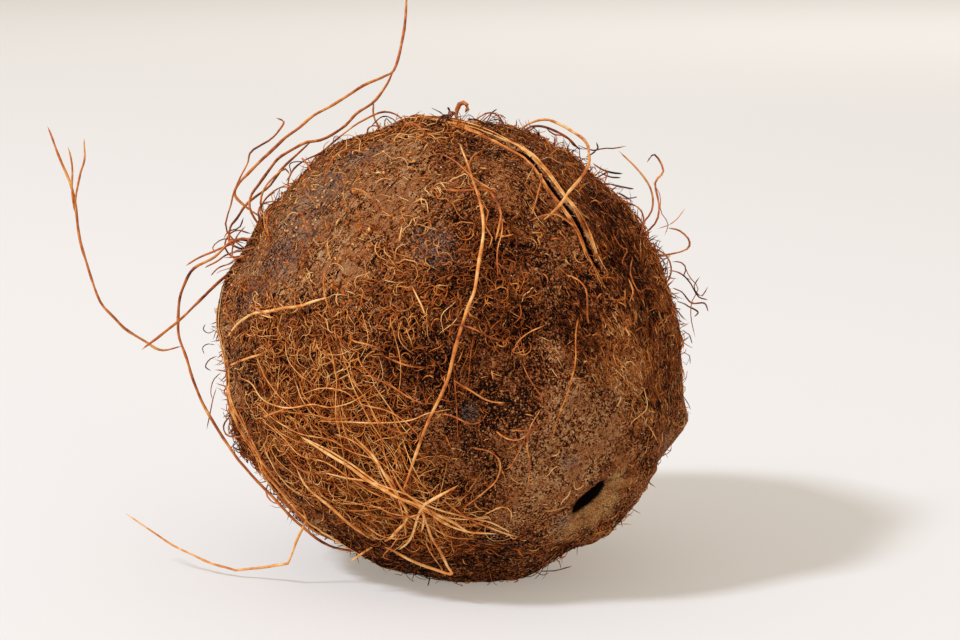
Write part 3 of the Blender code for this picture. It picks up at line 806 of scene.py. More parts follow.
@dataclass(frozen=True)
class MattedHusk:
    """Matted coconut husk: short broken fibres felted onto the hard shell, rough and without gloss.

    It gives the eye a dark, mottled brown under the loose fibres, tan where it is scraped, grey with dust.
    Of a pair of contrasts or middles, the first holds on plain felt. The second holds on worn ground (combed,
    flaky or the eye's disc) or, for lines, on combed ground. A band or an edge is the range of a noise, or of
    millimetres across a suture, over which a look fades in or out.
    """

    name: str = "matted_coconut_husk"
    tones: tuple = (
        (0.0, "#0c0402"), (0.2, "#2b1107"), (0.4, "#643016"), (0.6, "#a45829"), (0.8, "#d3894d"),
        (1.0, "#efbb86"),
    )
    disc: tuple = ((0.27, "#4a2411"), (0.38, "#ba7438"), (0.5, "#e6a663"), (0.64, "#f8cc90"))
    dust: str = "#a08d82"
    rust: str = "#b05c27"
    # The hole's wall and the hollow: near black, painted shade over the shell's own dark brown
    inside: str = "#1c0f09"
    roughness: float = 1.0
    specular: float = 0.08
    speckle_size: float = 0.42 * MM
    crumb_size: float = 1.0 * MM
    bend_size: float = 1.6 * MM
    blotch_size: float = 6.0 * MM
    bark_stretch: tuple[float, float, float] = (0.19, 0.19, 11.0)
    speckle_contrast: tuple[float, float] = (3.1, 2.0)
    crumb_contrast: float = 2.6
    blotch_contrast: float = 0.9
    line_contrast: tuple[float, float] = (0.45, 1.0)
    middle: tuple[float, float] = (3.46, 2.93)
    combed_middle: float = 0.28
    # Painted shade in the cracks between bark ridges
    crack_shade: tuple[float, float] = (-0.6, 0.08)
    crack_band: tuple[float, float] = (0.37, 0.47)
    curl_width: float = 0.03
    curl_levels: tuple[float, float] = (1.1, 0.25)
    gap_raggedness: float = 0.9
    gap_blotches: tuple[float, float] = (-1.4, 0.65)
    gap_edge: tuple[float, float] = (0.6, 0.9)
    # The gap's low value lowers the bump and also darkens the colour: painted shade in the groove
    gap_depth_and_shade: tuple[float, float] = (-1.4, 0.42)
    ridge_edge: tuple[float, float] = (1.1, 1.45)
    rust_band: tuple[float, float] = (0.46, 0.58)
    rust_share: float = 0.55
    dust_band: tuple[float, float] = (0.4, 0.6)
    dust_share: float = 0.6
    crumb_height: float = 2.2
    line_height: float = 0.25
    bump_distance: float = 1.8 * MM

    def curls(self, nodes: NodeMaker, place: Socket) -> Socket:
        """Return thin pale lines that bend back on themselves, as fine curls felted into the surface do.

        Args:
            nodes: Adds the nodes.
            place: The place on the object.

        Returns:
            A value that peaks where a noise crosses its middle value.
        """
        bends = nodes.noise(place, self.bend_size, Detail=1.0, Distortion=1.2)
        off_bend = nodes.math("ABSOLUTE", nodes.math("SUBTRACT", bends, 0.5))
        return nodes.remap(off_bend, (0.0, self.curl_width), self.curl_levels)

    def suture(self, nodes: NodeMaker, small: Socket, blotch: Socket) -> Socket:
        """Return a split suture: a gap 1.5 mm wide, darkened to black by painted shade, between two pale
        ridges.

        Distances are millimetres across the suture. Crumbs make both edges ragged, and the gap opens and
        closes with the blotches.

        Args:
            nodes: Adds the nodes.
            small: The crumbs' noise.
            blotch: The blotches' noise.

        Returns:
            A value below 0 in the gap, above 0 on the ridges and 0 beyond them.
        """
        ragged = nodes.add_scaled(small, self.gap_raggedness, nodes.attribute("across"))
        from_gap = nodes.math("ABSOLUTE", nodes.math("SUBTRACT", ragged, self.gap_raggedness / 2))
        off_gap = nodes.math("ADD", from_gap, nodes.add_scaled(blotch, *self.gap_blotches))
        gap = nodes.remap(off_gap, self.gap_edge, self.gap_depth_and_shade)
        return nodes.math("MULTIPLY", gap, nodes.remap(off_gap, self.ridge_edge, (1.0, 0.0)))

    def material(self) -> bpy.types.Material:
        """Return the material.

        Its place on the ramp of tones is the sum of speckles, crumbs, blotches and lines, each times its
        contrast, less the middle value. Crumbs also raise the bump, so where they are low the husk is darker:
        partly its own mottling, partly painted shade in its crevices. Bark has ridges 0.8 mm wide and 2.6 mm
        long, with painted shade in the dark cracks between them, and the suture's black gap is painted shade.
        Streaks are 0.5 mm wide and 9 mm long, as combed fibres are. Light husk has rusty patches.
        """
        material, nodes, shader = new_material(self.name, self.roughness, self.specular)
        place, grain = nodes.place(), nodes.attribute("grain", "Vector")
        names = ("tone", "combed", "dusty", "disc", "inner", "flaky", "seam")
        tone, combed, dusty, disc, inner, flaky, seam = (nodes.attribute(name) for name in names)
        stretched = {0: grain, 1: self.bark_stretch}
        flat = add_node(nodes.tree, "ShaderNodeVectorMath", stretched, operation="MULTIPLY")
        speckle = nodes.noise(place, self.speckle_size, Detail=2.0, Roughness=0.6)
        small = nodes.noise(place, self.crumb_size, Detail=3.0, Roughness=0.65, Distortion=0.8)
        plates = nodes.noise(flat.outputs[0], 1.0, Detail=4.0, Roughness=0.7, Distortion=1.1)
        blotch = nodes.noise(place, self.blotch_size, Detail=4.0)
        streak = nodes.noise(grain, 1.0, Detail=2.0)
        crumb = nodes.mix(flaky, small, plates)
        worn = nodes.math("MAXIMUM", combed, nodes.math("MAXIMUM", flaky, disc))
        line = nodes.mix(worn, self.curls(nodes, place), streak)
        suture = self.suture(nodes, small, blotch)
        level = nodes.add_scaled(speckle, nodes.mix(worn, *self.speckle_contrast), tone)
        # Crumbs darken the colour where they lower the bump: partly the husk's own mottling, partly painted
        # shade
        level = nodes.add_scaled(crumb, self.crumb_contrast, level)
        level = nodes.add_scaled(blotch, self.blotch_contrast, level)
        level = nodes.add_scaled(line, nodes.mix(combed, *self.line_contrast), level)
        middle = nodes.add_scaled(combed, self.combed_middle, nodes.mix(worn, *self.middle))
        level = nodes.math("SUBTRACT", level, middle)
        level = nodes.add_scaled(nodes.remap(plates, self.crack_band, self.crack_shade), flaky, level)
        # The suture's gap darkens the colour with painted shade as well as lowering the bump
        level = nodes.add_scaled(suture, seam, level)
        patches = nodes.remap(blotch, self.rust_band, (0.0, self.rust_share))
        grains = nodes.remap(speckle, self.dust_band, (0.0, self.dust_share))
        colour = nodes.blend(disc, nodes.ramp(level, self.tones), nodes.ramp(speckle, self.disc))
        rusty = nodes.math("MULTIPLY", patches, level, use_clamp=True)
        colour = nodes.blend(rusty, colour, linear(self.rust))
        colour = nodes.blend(nodes.math("MULTIPLY", dusty, grains), colour, linear(self.dust))
        # Painted shade: the hole and the hollow are coloured near black
        colour = nodes.blend(inner, colour, linear(self.inside))
        height = nodes.add_scaled(crumb, self.crumb_height, speckle)
        height = nodes.add_scaled(line, self.line_height, height)
        height = nodes.add_scaled(suture, seam, height)
        nodes.tree.links.new(colour, shader.inputs["Base Color"])
        nodes.tree.links.new(nodes.bump(height, 1.0, self.bump_distance), shader.inputs["Normal"])
        return material


@dataclass(frozen=True)
class CoirFibre:
    """Coir: dry husk fibre torn from the nut, stiff and a little waxy.

    It gives the eye thin lines from near black through rust to gold, with a soft gleam along each.
    """

    name: str = "dry_coir_fibre"
    tones: tuple = (
        (0.0, "#120602"), (0.2, "#3c180a"), (0.4, "#7a3915"), (0.6, "#b86127"), (0.8, "#db9147"),
        (1.0, "#f2be7b"),
    )
    roughness: float = 0.65
    specular: float = 0.07
    patch_size: float = 2.0 * MM
    patch_band: tuple[float, float] = (0.3, 0.7)
    patch_spread: float = 0.16

    def material(self) -> bpy.types.Material:
        """Return the material. Each fibre's tone varies along it in patches."""
        material, nodes, shader = new_material(self.name, self.roughness, self.specular)
        patch = nodes.noise(nodes.place(), self.patch_size, Detail=2.0)
        spread = nodes.remap(patch, self.patch_band, (-self.patch_spread, self.patch_spread), clamp=False)
        varied = nodes.math("ADD", nodes.attribute("tone"), spread)
        nodes.tree.links.new(nodes.ramp(varied, self.tones), shader.inputs["Base Color"])
        return material


@dataclass(frozen=True)
class BackdropPaper:
    """Matt studio paper: an even pale ground whose warm painted glow lifts and warms the shadows on it."""

    name: str = "matt_backdrop_paper"
    colour: str = "#bfc0c1"
    # Painted light: the paper gives off a warm glow although it is no lamp
    glow: str = "#fff1e0"
    glow_strength: float = 0.31
    roughness: float = 0.95
    specular: float = 0.1
    grain_size: float = 2.0 * MM
    grain_height: float = 0.2 * MM

    def material(self) -> bpy.types.Material:
        """Return the material, with a faint grain."""
        material, nodes, shader = new_material(self.name, self.roughness, self.specular)
        grain = nodes.noise(nodes.place(), self.grain_size, Detail=2.0)
        nodes.tree.links.new(nodes.bump(grain, 0.05, self.grain_height), shader.inputs["Normal"])
        shader.inputs["Base Color"].default_value = linear(self.colour)
        shader.inputs["Emission Color"].default_value = linear(self.glow)
        shader.inputs["Emission Strength"].default_value = self.glow_strength
        return material


@dataclass
class ShellBody:
    """The shell itself: one closed surface, from outside through the open eye to the hollow."""

    name: str = "shell_body"
    columns: int = 440
    outer_rows: int = 186
    tunnel_rows: int = 6
    inner_rows: int = 14
    hole_lean: float = 0.8
    hole_long_radius: float = 5.1 * MM
    hole_short_radius: float = 5.8 * MM
    rim_raggedness: float = 0.07
    seam_width: float = 3.4 * MM
    parting_start: float = math.radians(63.0)
    parting_fade: float = math.radians(11.0)
    hidden_parting: float = 0.15
    streak_grain: tuple[float, float] = (0.5 * MM, 9.0 * MM)
    finish: MattedHusk = MattedHusk()

    def hole_axes(self) -> tuple[np.ndarray, np.ndarray, np.ndarray, np.ndarray]:
        """Return the open eye's mouth, its axis outwards, and its short and long directions."""
        unit = direction(*OPEN_EYE)
        mouth = NUT.place(unit[None], NUT.solid_radius(unit[None]))[0]
        along = unit_rows(NUT.to_row @ unit + (self.hole_lean, 0, 0))
        across = unit_rows(np.cross(along, (0, 0, 1)))
        return mouth, along, across, np.cross(along, across)

    def spread_from_hole(self, from_hole: np.ndarray, around: np.ndarray) -> np.ndarray:
        """Return directions at an angle from the open eye's own direction, and round it."""
        pole = direction(*OPEN_EYE)
        side = unit_rows(np.cross(pole, (0, 0, 1)))
        other = np.cross(pole, side)
        ring = side * np.cos(around)[..., None] + other * np.sin(around)[..., None]
        return pole * np.cos(from_hole)[..., None] + ring * np.sin(from_hole)[..., None]

    def rim_angle(self, around: np.ndarray) -> np.ndarray:
        """Return the angle from the hole's direction at which the surface meets the oval, by halving."""
        mouth, _, across, long_way = self.hole_axes()
        ring = np.stack([np.cos(around), np.sin(around), 0 * around], axis=-1)
        ragged = 1 + self.rim_raggedness * lattice_noise(ring, 0.35, 21)
        near, far = np.zeros(len(around)), np.full(len(around), 0.6)
        for _ in range(HALVINGS):
            middle = (near + far) / 2
            unit = self.spread_from_hole(middle, around)
            offset = NUT.place(unit, surface_radius(unit)) - mouth
            short, long = offset @ across / self.hole_short_radius, offset @ long_way / self.hole_long_radius
            inside = np.hypot(short, long) < ragged
            near, far = np.where(inside, middle, near), np.where(inside, far, middle)
        return near

    def grid(self) -> tuple[np.ndarray, np.ndarray]:
        """Return the rows of places from the outer pole, over the rim and in to the hollow's pole.

        Outer rows run from the far side to the rim along great circles. Tunnel rows go straight in along the
        hole's axis to the hollow. Inner rows follow great circles from there to the hollow's far side.

        Returns:
            Places as row, column and xyz, and the directions of the outer rows.
        """
        around = np.arange(self.columns) * 2 * math.pi / self.columns
        rim = self.rim_angle(around)
        share = np.linspace(0, 1, self.outer_rows + 1)[1:, None]
        outer_unit = self.spread_from_hole(math.pi + (rim - math.pi) * share, around[None] + 0 * share)
        outer = NUT.place(outer_unit, surface_radius(outer_unit))
        _, along, _, _ = self.hole_axes()
        start = (outer[-1] - NUT.centre) @ NUT.to_row
        inward = -(along @ NUT.to_row)
        scale = 1 / np.array((
            NUT.flank_radius - NUT.wall, NUT.flank_radius - NUT.wall, NUT.eye_end_length - NUT.wall,
        ))
        a = ((inward * scale) ** 2).sum()
        b = ((start * scale) * (inward * scale)).sum(axis=-1)
        c = ((start * scale) ** 2).sum(axis=-1) - 1
        depth = (-b - np.sqrt(np.maximum(b * b - a * c, 0))) / a
        steps = np.linspace(0, 1, self.tunnel_rows + 1)[1:, None, None]
        tunnel = outer[-1] - along * depth[:, None] * steps
        end_unit = NUT.directions_of(tunnel[-1])
        pole = direction(*OPEN_EYE)
        side = unit_rows(np.cross(pole, (0, 0, 1)))
        end_angle = np.arccos(np.clip(end_unit @ pole, -1, 1))
        end_around = np.arctan2(end_unit @ np.cross(pole, side), end_unit @ side)
        share = np.linspace(0, 1, self.inner_rows + 1)[1:-1, None]
        inner_angle = end_angle + (math.pi - end_angle) * share
        inner_unit = self.spread_from_hole(inner_angle, end_around[None] + 0 * share)
        inner = NUT.place(inner_unit, NUT.hollow_radius(inner_unit))
        return np.concatenate([outer, tunnel, inner]), outer_unit

    def ground_attributes(self, unit: np.ndarray, hidden: int) -> dict[str, np.ndarray]:
        """Return what the material reads at each vertex.

        Args:
            unit: The outside vertices' directions in the nut's axes.
            hidden: How many vertices follow them, in the hole and the hollow.

        Returns:
            One value or vector a vertex, by attribute name.
        """
        across = NUT.across_suture(unit)
        around = np.arctan2(unit[:, 1], unit[:, 0]) - NUT.suture_turn(NUT.from_pole(unit))
        open_share = np.where(np.abs(around) < math.pi / NUT.suture_count, 1.0, self.hidden_parting)
        parted = open_share * np.clip((NUT.from_pole(unit) - self.parting_start) / self.parting_fade, 0, 1)
        outside = {
            "tone": tone_field(unit),
            "across": np.clip(across / MM, -6, 6),
            "seam": bell(across, self.seam_width) * parted,
            "flaky": GROUND.strength(Ground.BARK, unit),
            "combed": np.maximum(GROUND.strength(Ground.COMBED, unit), GROUND.strength(Ground.RIDGE, unit)),
            "dusty": GROUND.strength(Ground.DUSTY, unit),
            "disc": GROUND.strength(Ground.DISC, unit),
        }
        attributes = {key: np.concatenate([values, np.zeros(hidden)]) for key, values in outside.items()}
        attributes["grain"] = np.concatenate([NUT.grain(unit, *self.streak_grain), np.zeros((hidden, 3))])
        attributes["inner"] = np.concatenate([np.zeros(len(unit)), np.ones(hidden)])
        return attributes

    def build(self) -> bpy.types.Object:
        """Build the shell's one closed surface, with its flat resting spot, and dress it."""
        rows, outer_unit = self.grid()
        far_side = self.spread_from_hole(np.array(math.pi), np.array(0.0))
        outer_pole = NUT.place(far_side[None], surface_radius(far_side[None]))
        inner_pole = NUT.place(far_side[None], NUT.hollow_radius(far_side[None]))
        vertices = np.concatenate([outer_pole, rows.reshape(-1, 3), inner_pole])
        vertices[:, 2] = np.maximum(vertices[:, 2], 0)
        row, column = np.meshgrid(np.arange(len(rows) - 1), np.arange(self.columns), indexing="ij")
        following = (column + 1) % self.columns
        first, second = 1 + row * self.columns, 1 + (row + 1) * self.columns
        quads = np.stack([first + column, second + column, second + following, first + following], -1)
        ring = np.arange(self.columns)
        around = (ring + 1) % self.columns
        last = 1 + (len(rows) - 1) * self.columns
        caps = np.concatenate([
            np.stack([0 * ring, 1 + ring, 1 + around], -1),
            np.stack([0 * ring + len(vertices) - 1, last + around, last + ring], -1),
        ])
        unit = np.concatenate([far_side[None], outer_unit.reshape(-1, 3)])
        attributes = self.ground_attributes(unit, len(vertices) - len(unit))
        faces = [quads.reshape(-1, 4), caps]
        piece = put_mesh(self.name, vertices, faces, self.finish.material(), attributes)
        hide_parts(NODE_NAME)
        return piece


# The knot that the front's golden fibres run to, in millimetres right and up
KNOT_PLACE = (-4.0, -42.0)


class Lie(Enum):
    """Which way a layer's fibres lie."""

    ANY = "any way round"
    GRAIN = "along the grain, from pole to pole"
    KNOT = "towards the knot under the front"


@dataclass
class FibreLayer:
    """One layer of loose fibres, grown over the shell as curved paths with closed tapering tubes.

    Each fibre's root is chosen from a few candidates. Its length is shortened by a random share, it bends by
    so many waves, and a share of the fibres have their tips raised.
    """

    name: str
    seed: int
    count: int
    steps: int
    lengths: tuple[float, float]
    radii: tuple[float, float]
    curl: float
    wave: float
    lie: Lie
    stray: float
    lifts: tuple[float, float]
    tips: tuple[float, float]
    tone_shift: float
    tone_spread: float
    on_grounds: dict[Ground, float]
    everywhere: float = 1.0
    off_suture: float = 0.0
    off_bare: float = 0.98
    within: float = 1.0
    root_clearance: float = 8.5 * MM
    eye_clearance: float = 7.5 * MM
    suture_clearance: float = 3.2 * MM
    floor_clearance: float = 0.25 * MM
    candidates: int = 6
    shortening: tuple[float, float] = (0.6, 1.0)
    waves: tuple[float, float] = (0.6, 2.2)
    tipped_share: float = 0.6
    laid_height: float = 0.1 * MM
    middle_lightness: float = 0.06
    root_darkness: float = 0.05
    taper: float = 0.55
    sides: int = 3
    finish: CoirFibre = CoirFibre()

    def roots(self, draw: np.random.Generator) -> np.ndarray:
        """Return seeded root directions, more of them where the layer's grounds hold."""
        spots, weight = seeded_roots(draw, self.count * self.candidates, self.everywhere, self.on_grounds)
        near_suture = bell(NUT.across_suture(spots), self.suture_clearance)
        weight = weight * (1 - self.off_suture * near_suture * NUT.split(spots))
        weight = weight * (1 - self.off_bare * bare_ground(spots))
        weight = weight * (from_open_eye(spots) > self.root_clearance)
        chosen = draw.choice(len(spots), size=self.count, replace=False, p=weight / weight.sum())
        return spots[chosen]

    def headings(self, draw: np.random.Generator, unit: np.ndarray) -> np.ndarray:
        """Return each fibre's first heading, by the way that the layer lies."""
        down, across = grain_axes(unit)
        if self.lie is Lie.ANY:
            turn = draw.uniform(0, 2 * math.pi, len(unit))
        elif self.lie is Lie.GRAIN:
            turn = draw.normal(0, self.stray, len(unit)) + math.pi * draw.integers(0, 2, len(unit))
        else:
            right, up = np.array(KNOT_PLACE)[:, None]
            knot = NUT.directions_of(FRONT.lay_on_shell(right, up, 0.0))[0]
            towards = unit_rows(knot - unit * (unit @ knot)[:, None])
            down, across = towards, np.cross(unit, towards)
            turn = draw.normal(0, self.stray, len(unit))
        return down * np.cos(turn)[:, None] + across * np.sin(turn)[:, None]

    def paths(self, draw: np.random.Generator) -> tuple[np.ndarray, np.ndarray]:
        """Walk every fibre over the shell at once.

        Each step goes length / steps along a great circle, after turning by its curvature: a steady curl
        plus a slow sine wave. The height over the surface is lift sin(pi t) + tip t^2, t running from 0 at
        the root to 1.

        Args:
            draw: The layer's random generator.

        Returns:
            Places as fibre, step and xyz, and the root directions.
        """
        unit = self.roots(draw)
        roots = unit
        heading = self.headings(draw, unit)
        length = draw.uniform(*self.lengths, self.count) * draw.uniform(*self.shortening, self.count)
        stride = length / (self.steps - 1)
        curl = draw.normal(0, self.curl, self.count)
        wave = draw.normal(0, self.wave, self.count)
        phase = draw.uniform(0, 2 * math.pi, self.count)
        pace = draw.uniform(*self.waves, self.count) * 2 * math.pi / self.steps
        lift = draw.uniform(*self.lifts, self.count)
        tip = draw.uniform(*self.tips, self.count) * (draw.random(self.count) < self.tipped_share)
        walked = []
        for step in range(self.steps):
            t = step / (self.steps - 1)
            height = lift * math.sin(math.pi * t) + tip * t * t + self.laid_height
            walked.append(NUT.place(unit, surface_radius(unit) + height))
            turn = ((curl + wave * np.sin(phase + pace * step)) * stride)[:, None]
            heading = heading * np.cos(turn) + np.cross(unit, heading) * np.sin(turn)
            arc = (stride / NUT.flank_radius)[:, None]
            unit, heading = (
                unit * np.cos(arc) + heading * np.sin(arc),
                heading * np.cos(arc) - unit * np.sin(arc),
            )
        paths = np.stack(walked, axis=1)
        paths[..., 2] = np.maximum(paths[..., 2], self.floor_clearance)
        return paths, roots

    def build(self) -> bpy.types.Object:
        """Build the whole layer as one piece and dress it."""
        draw = np.random.default_rng(self.seed)
        paths, roots = self.paths(draw)
        clear = from_open_eye(NUT.directions_of(paths)).min(axis=1) > self.eye_clearance
        clear &= FRONT.shown_reach(paths) < self.within
        paths, roots = paths[clear], roots[clear]
        t = np.linspace(0, 1, self.steps)
        thick = draw.uniform(*self.radii, len(paths))
        radii = thick[:, None] * (1 - self.taper * t**3)
        tone = tone_field(roots) + self.tone_shift + draw.normal(0, self.tone_spread, len(paths))
        tones = tone[:, None] + self.middle_lightness * np.sin(math.pi * t) - self.root_darkness * (1 - t)
        return put_tubes(self.name, paths, radii, tones, self.sides, self.finish.material())


LAYERS = (
    FibreLayer(
        name="felted_fibres", seed=31, count=5600, steps=5, lengths=(0.8 * MM, 2.6 * MM),
        radii=(0.07 * MM, 0.13 * MM), curl=380, wave=700, lie=Lie.ANY, stray=0, lifts=(0, 0.2 * MM),
        tips=(0, 0.3 * MM), tone_shift=0.1, tone_spread=0.2,
        on_grounds={Ground.SMOOTH: -0.6, Ground.BARK: -0.95, Ground.COMBED: -0.4},
        off_suture=1.0, off_bare=0.9,
    ),
    FibreLayer(
        name="combed_fibres", seed=32, count=8600, steps=5, lengths=(1.4 * MM, 4.6 * MM),
        radii=(0.06 * MM, 0.11 * MM), curl=50, wave=140, lie=Lie.GRAIN, stray=0.24, lifts=(0, 0.06 * MM),
        tips=(0, 0.1 * MM), tone_shift=0.02, tone_spread=0.2,
        on_grounds={Ground.COMBED: 1.8, Ground.SMOOTH: 0.05, Ground.STREAKED: 2.0}, everywhere=0.14,
        off_suture=0.95, off_bare=0.85,
    ),
    FibreLayer(
        name="tight_curls", seed=33, count=2800, steps=10, lengths=(2.5 * MM, 9 * MM),
        radii=(0.09 * MM, 0.17 * MM), curl=420, wave=950, lie=Lie.ANY, stray=0, lifts=(0.2 * MM, 0.8 * MM),
        tips=(0, 0.8 * MM), tone_shift=0.2, tone_spread=0.13,
        on_grounds={Ground.GOLDEN: 1.6, Ground.CURLY: 1.8, Ground.SMOOTH: -0.3, Ground.COMBED: -0.04,
                    Ground.BARK: -0.8},
        everywhere=0.09, off_suture=1.0,
    ),
    FibreLayer(
        name="golden_fibres", seed=34, count=2500, steps=11, lengths=(4 * MM, 12 * MM),
        radii=(0.07 * MM, 0.13 * MM), curl=190, wave=620, lie=Lie.KNOT, stray=0.9, lifts=(0.3 * MM, 1.3 * MM),
        tips=(0, 1.0 * MM), tone_shift=0.31, tone_spread=0.14,
        on_grounds={Ground.GOLDEN: 2.6, Ground.CURLY: 0.12, Ground.SMOOTH: -0.1, Ground.COMBED: -0.1,
                    Ground.BARK: -1.6},
        everywhere=0.03, off_suture=1.0, within=53.5 * MM,
    ),
    FibreLayer(
        name="sweeping_fibres", seed=36, count=130, steps=20, lengths=(15 * MM, 40 * MM),
        radii=(0.11 * MM, 0.2 * MM), curl=12, wave=60, lie=Lie.KNOT, stray=0.25, lifts=(0.8 * MM, 2.4 * MM),
        tips=(0, 1.2 * MM), tone_shift=0.34, tone_spread=0.1,
        on_grounds={Ground.GOLDEN: 3.0, Ground.BARK: -2.0}, everywhere=0.02, off_suture=0.9, within=51 * MM,
    ),
    FibreLayer(
        name="standing_hairs", seed=35, count=1900, steps=7, lengths=(2 * MM, 8 * MM),
        radii=(0.07 * MM, 0.14 * MM), curl=260, wave=560, lie=Lie.ANY, stray=0, lifts=(0.3 * MM, 1.2 * MM),
        tips=(0.5 * MM, 3.6 * MM), tone_shift=0.06, tone_spread=0.14,
        on_grounds={Ground.RAGGED: 5.0, Ground.BARK: -0.06, Ground.SMOOTH: -0.06}, everywhere=0.07,
        off_suture=1.0,
    ),
    FibreLayer(
        name="stubby_spikes", seed=37, count=620, steps=5, lengths=(1.6 * MM, 4.5 * MM),
        radii=(0.12 * MM, 0.27 * MM), curl=160, wave=500, lie=Lie.ANY, stray=0, lifts=(0.1 * MM, 0.6 * MM),
        tips=(1.0 * MM, 4.0 * MM), tone_shift=0.1, tone_spread=0.14,
        on_grounds={Ground.RAGGED: 5.0}, everywhere=0.01, off_suture=0.9,
    ),
)


@dataclass
class HuskCrumbs:
    """Torn flakes and crumbs of husk that stand on the matted surface, all in one piece."""

    name: str = "husk_crumbs"
    seed: int = 51
    count: int = 18000
    candidates: int = 4
    lengths: tuple[float, float] = (0.25 * MM, 1.2 * MM)
    slimness: tuple[float, float] = (0.3, 0.9)
    flatness: float = 0.4
    corner_spread: tuple[float, float] = (0.6, 1.3)
    turn_spread: float = 1.2
    grain_hold: float = 0.7
    tilts: tuple[float, float] = (-0.1, math.radians(26.0))
    worn_down: float = 0.45
    laid_height: float = 0.05 * MM
    raised_share: float = 0.25
    tone: float | None = None
    tone_shift: float = -0.12
    tone_spread: float = 0.12
    eye_clearance: float = 7.5 * MM
    suture_clearance: float = 2.6 * MM
    floor_clearance: float = 0.1 * MM
    finish: CoirFibre = CoirFibre("torn_husk_crumb", roughness=0.95, specular=0.03)

    def build(self) -> bpy.types.Object:
        """Build each crumb as a skewed eight-sided splinter.

        A crumb's six corners lie at plus and minus its length, width and thickness, each scaled by its own
        random factor, along axes that follow the grain and tilt out of the surface.
        """
        draw = np.random.default_rng(self.seed)
        grounds = {Ground.BARK: -0.3, Ground.SCRAPED: -0.3, Ground.DISC: -0.97, Ground.RIDGE: -0.5}
        spots, weight = seeded_roots(draw, self.count * self.candidates, 1.0, grounds)
        weight = weight * (from_open_eye(spots) > self.eye_clearance)
        weight = weight * (1 - bell(NUT.across_suture(spots), self.suture_clearance) * NUT.split(spots))
        chosen = draw.choice(len(spots), size=self.count, replace=False, p=weight / weight.sum())
        unit = spots[chosen]
        down, across = grain_axes(unit)
        grainy = np.maximum(GROUND.strength(Ground.BARK, unit), GROUND.strength(Ground.COMBED, unit))
        loose = 1 - self.grain_hold * grainy
        turn = (draw.normal(0, self.turn_spread, self.count) * loose)[:, None]
        tilt = draw.uniform(*self.tilts, self.count)[:, None]
        level = down * np.cos(turn) + across * np.sin(turn)
        ahead = level * np.cos(tilt) + unit * np.sin(tilt)
        side = unit_rows(np.cross(unit, ahead))
        rise = np.cross(ahead, side)
        small = 1 - self.worn_down * np.maximum(bare_ground(unit), GROUND.strength(Ground.SMOOTH, unit))
        length = draw.uniform(*self.lengths, self.count) * small
        width = length * draw.uniform(*self.slimness, self.count)
        thickness = width * self.flatness
        reach = np.stack([length, length, width, width, thickness, thickness], axis=1) / 2
        reach = reach * draw.uniform(*self.corner_spread, reach.shape)
        axes = np.stack([ahead, -ahead, side, -side, rise, -rise], axis=1) @ NUT.to_row.T
        raised = self.raised_share * length * np.sin(tilt[:, 0])
        base = NUT.place(unit, surface_radius(unit) + self.laid_height + raised)
        vertices = (base[:, None] + axes * reach[..., None]).reshape(-1, 3)
        vertices[:, 2] = np.maximum(vertices[:, 2], self.floor_clearance)
        one = np.array((
            (0, 2, 4), (2, 1, 4), (1, 3, 4), (3, 0, 4), (2, 0, 5), (1, 2, 5), (3, 1, 5), (0, 3, 5),
        ))
        faces = (one + (np.arange(self.count) * 6)[:, None, None]).reshape(-1, 3)
        tone = tone_field(unit) + self.tone_shift if self.tone is None else np.full(self.count, self.tone)
        tone = tone + draw.normal(0.0, self.tone_spread, self.count)
        piece = put_mesh(self.name, vertices, [faces], self.finish.material(), {"tone": np.repeat(tone, 6)})
        piece.data.shade_flat()
        return piece


CHALK_SPECKS = HuskCrumbs(
    name="chalk_specks", seed=52, count=420, lengths=(0.25 * MM, 0.5 * MM), slimness=(0.7, 1.0), tone=0.7,
    finish=CoirFibre("chalky_dust_speck", tones=((0.3, "#b9ab9a"), (0.7, "#f4efe6"))),
)


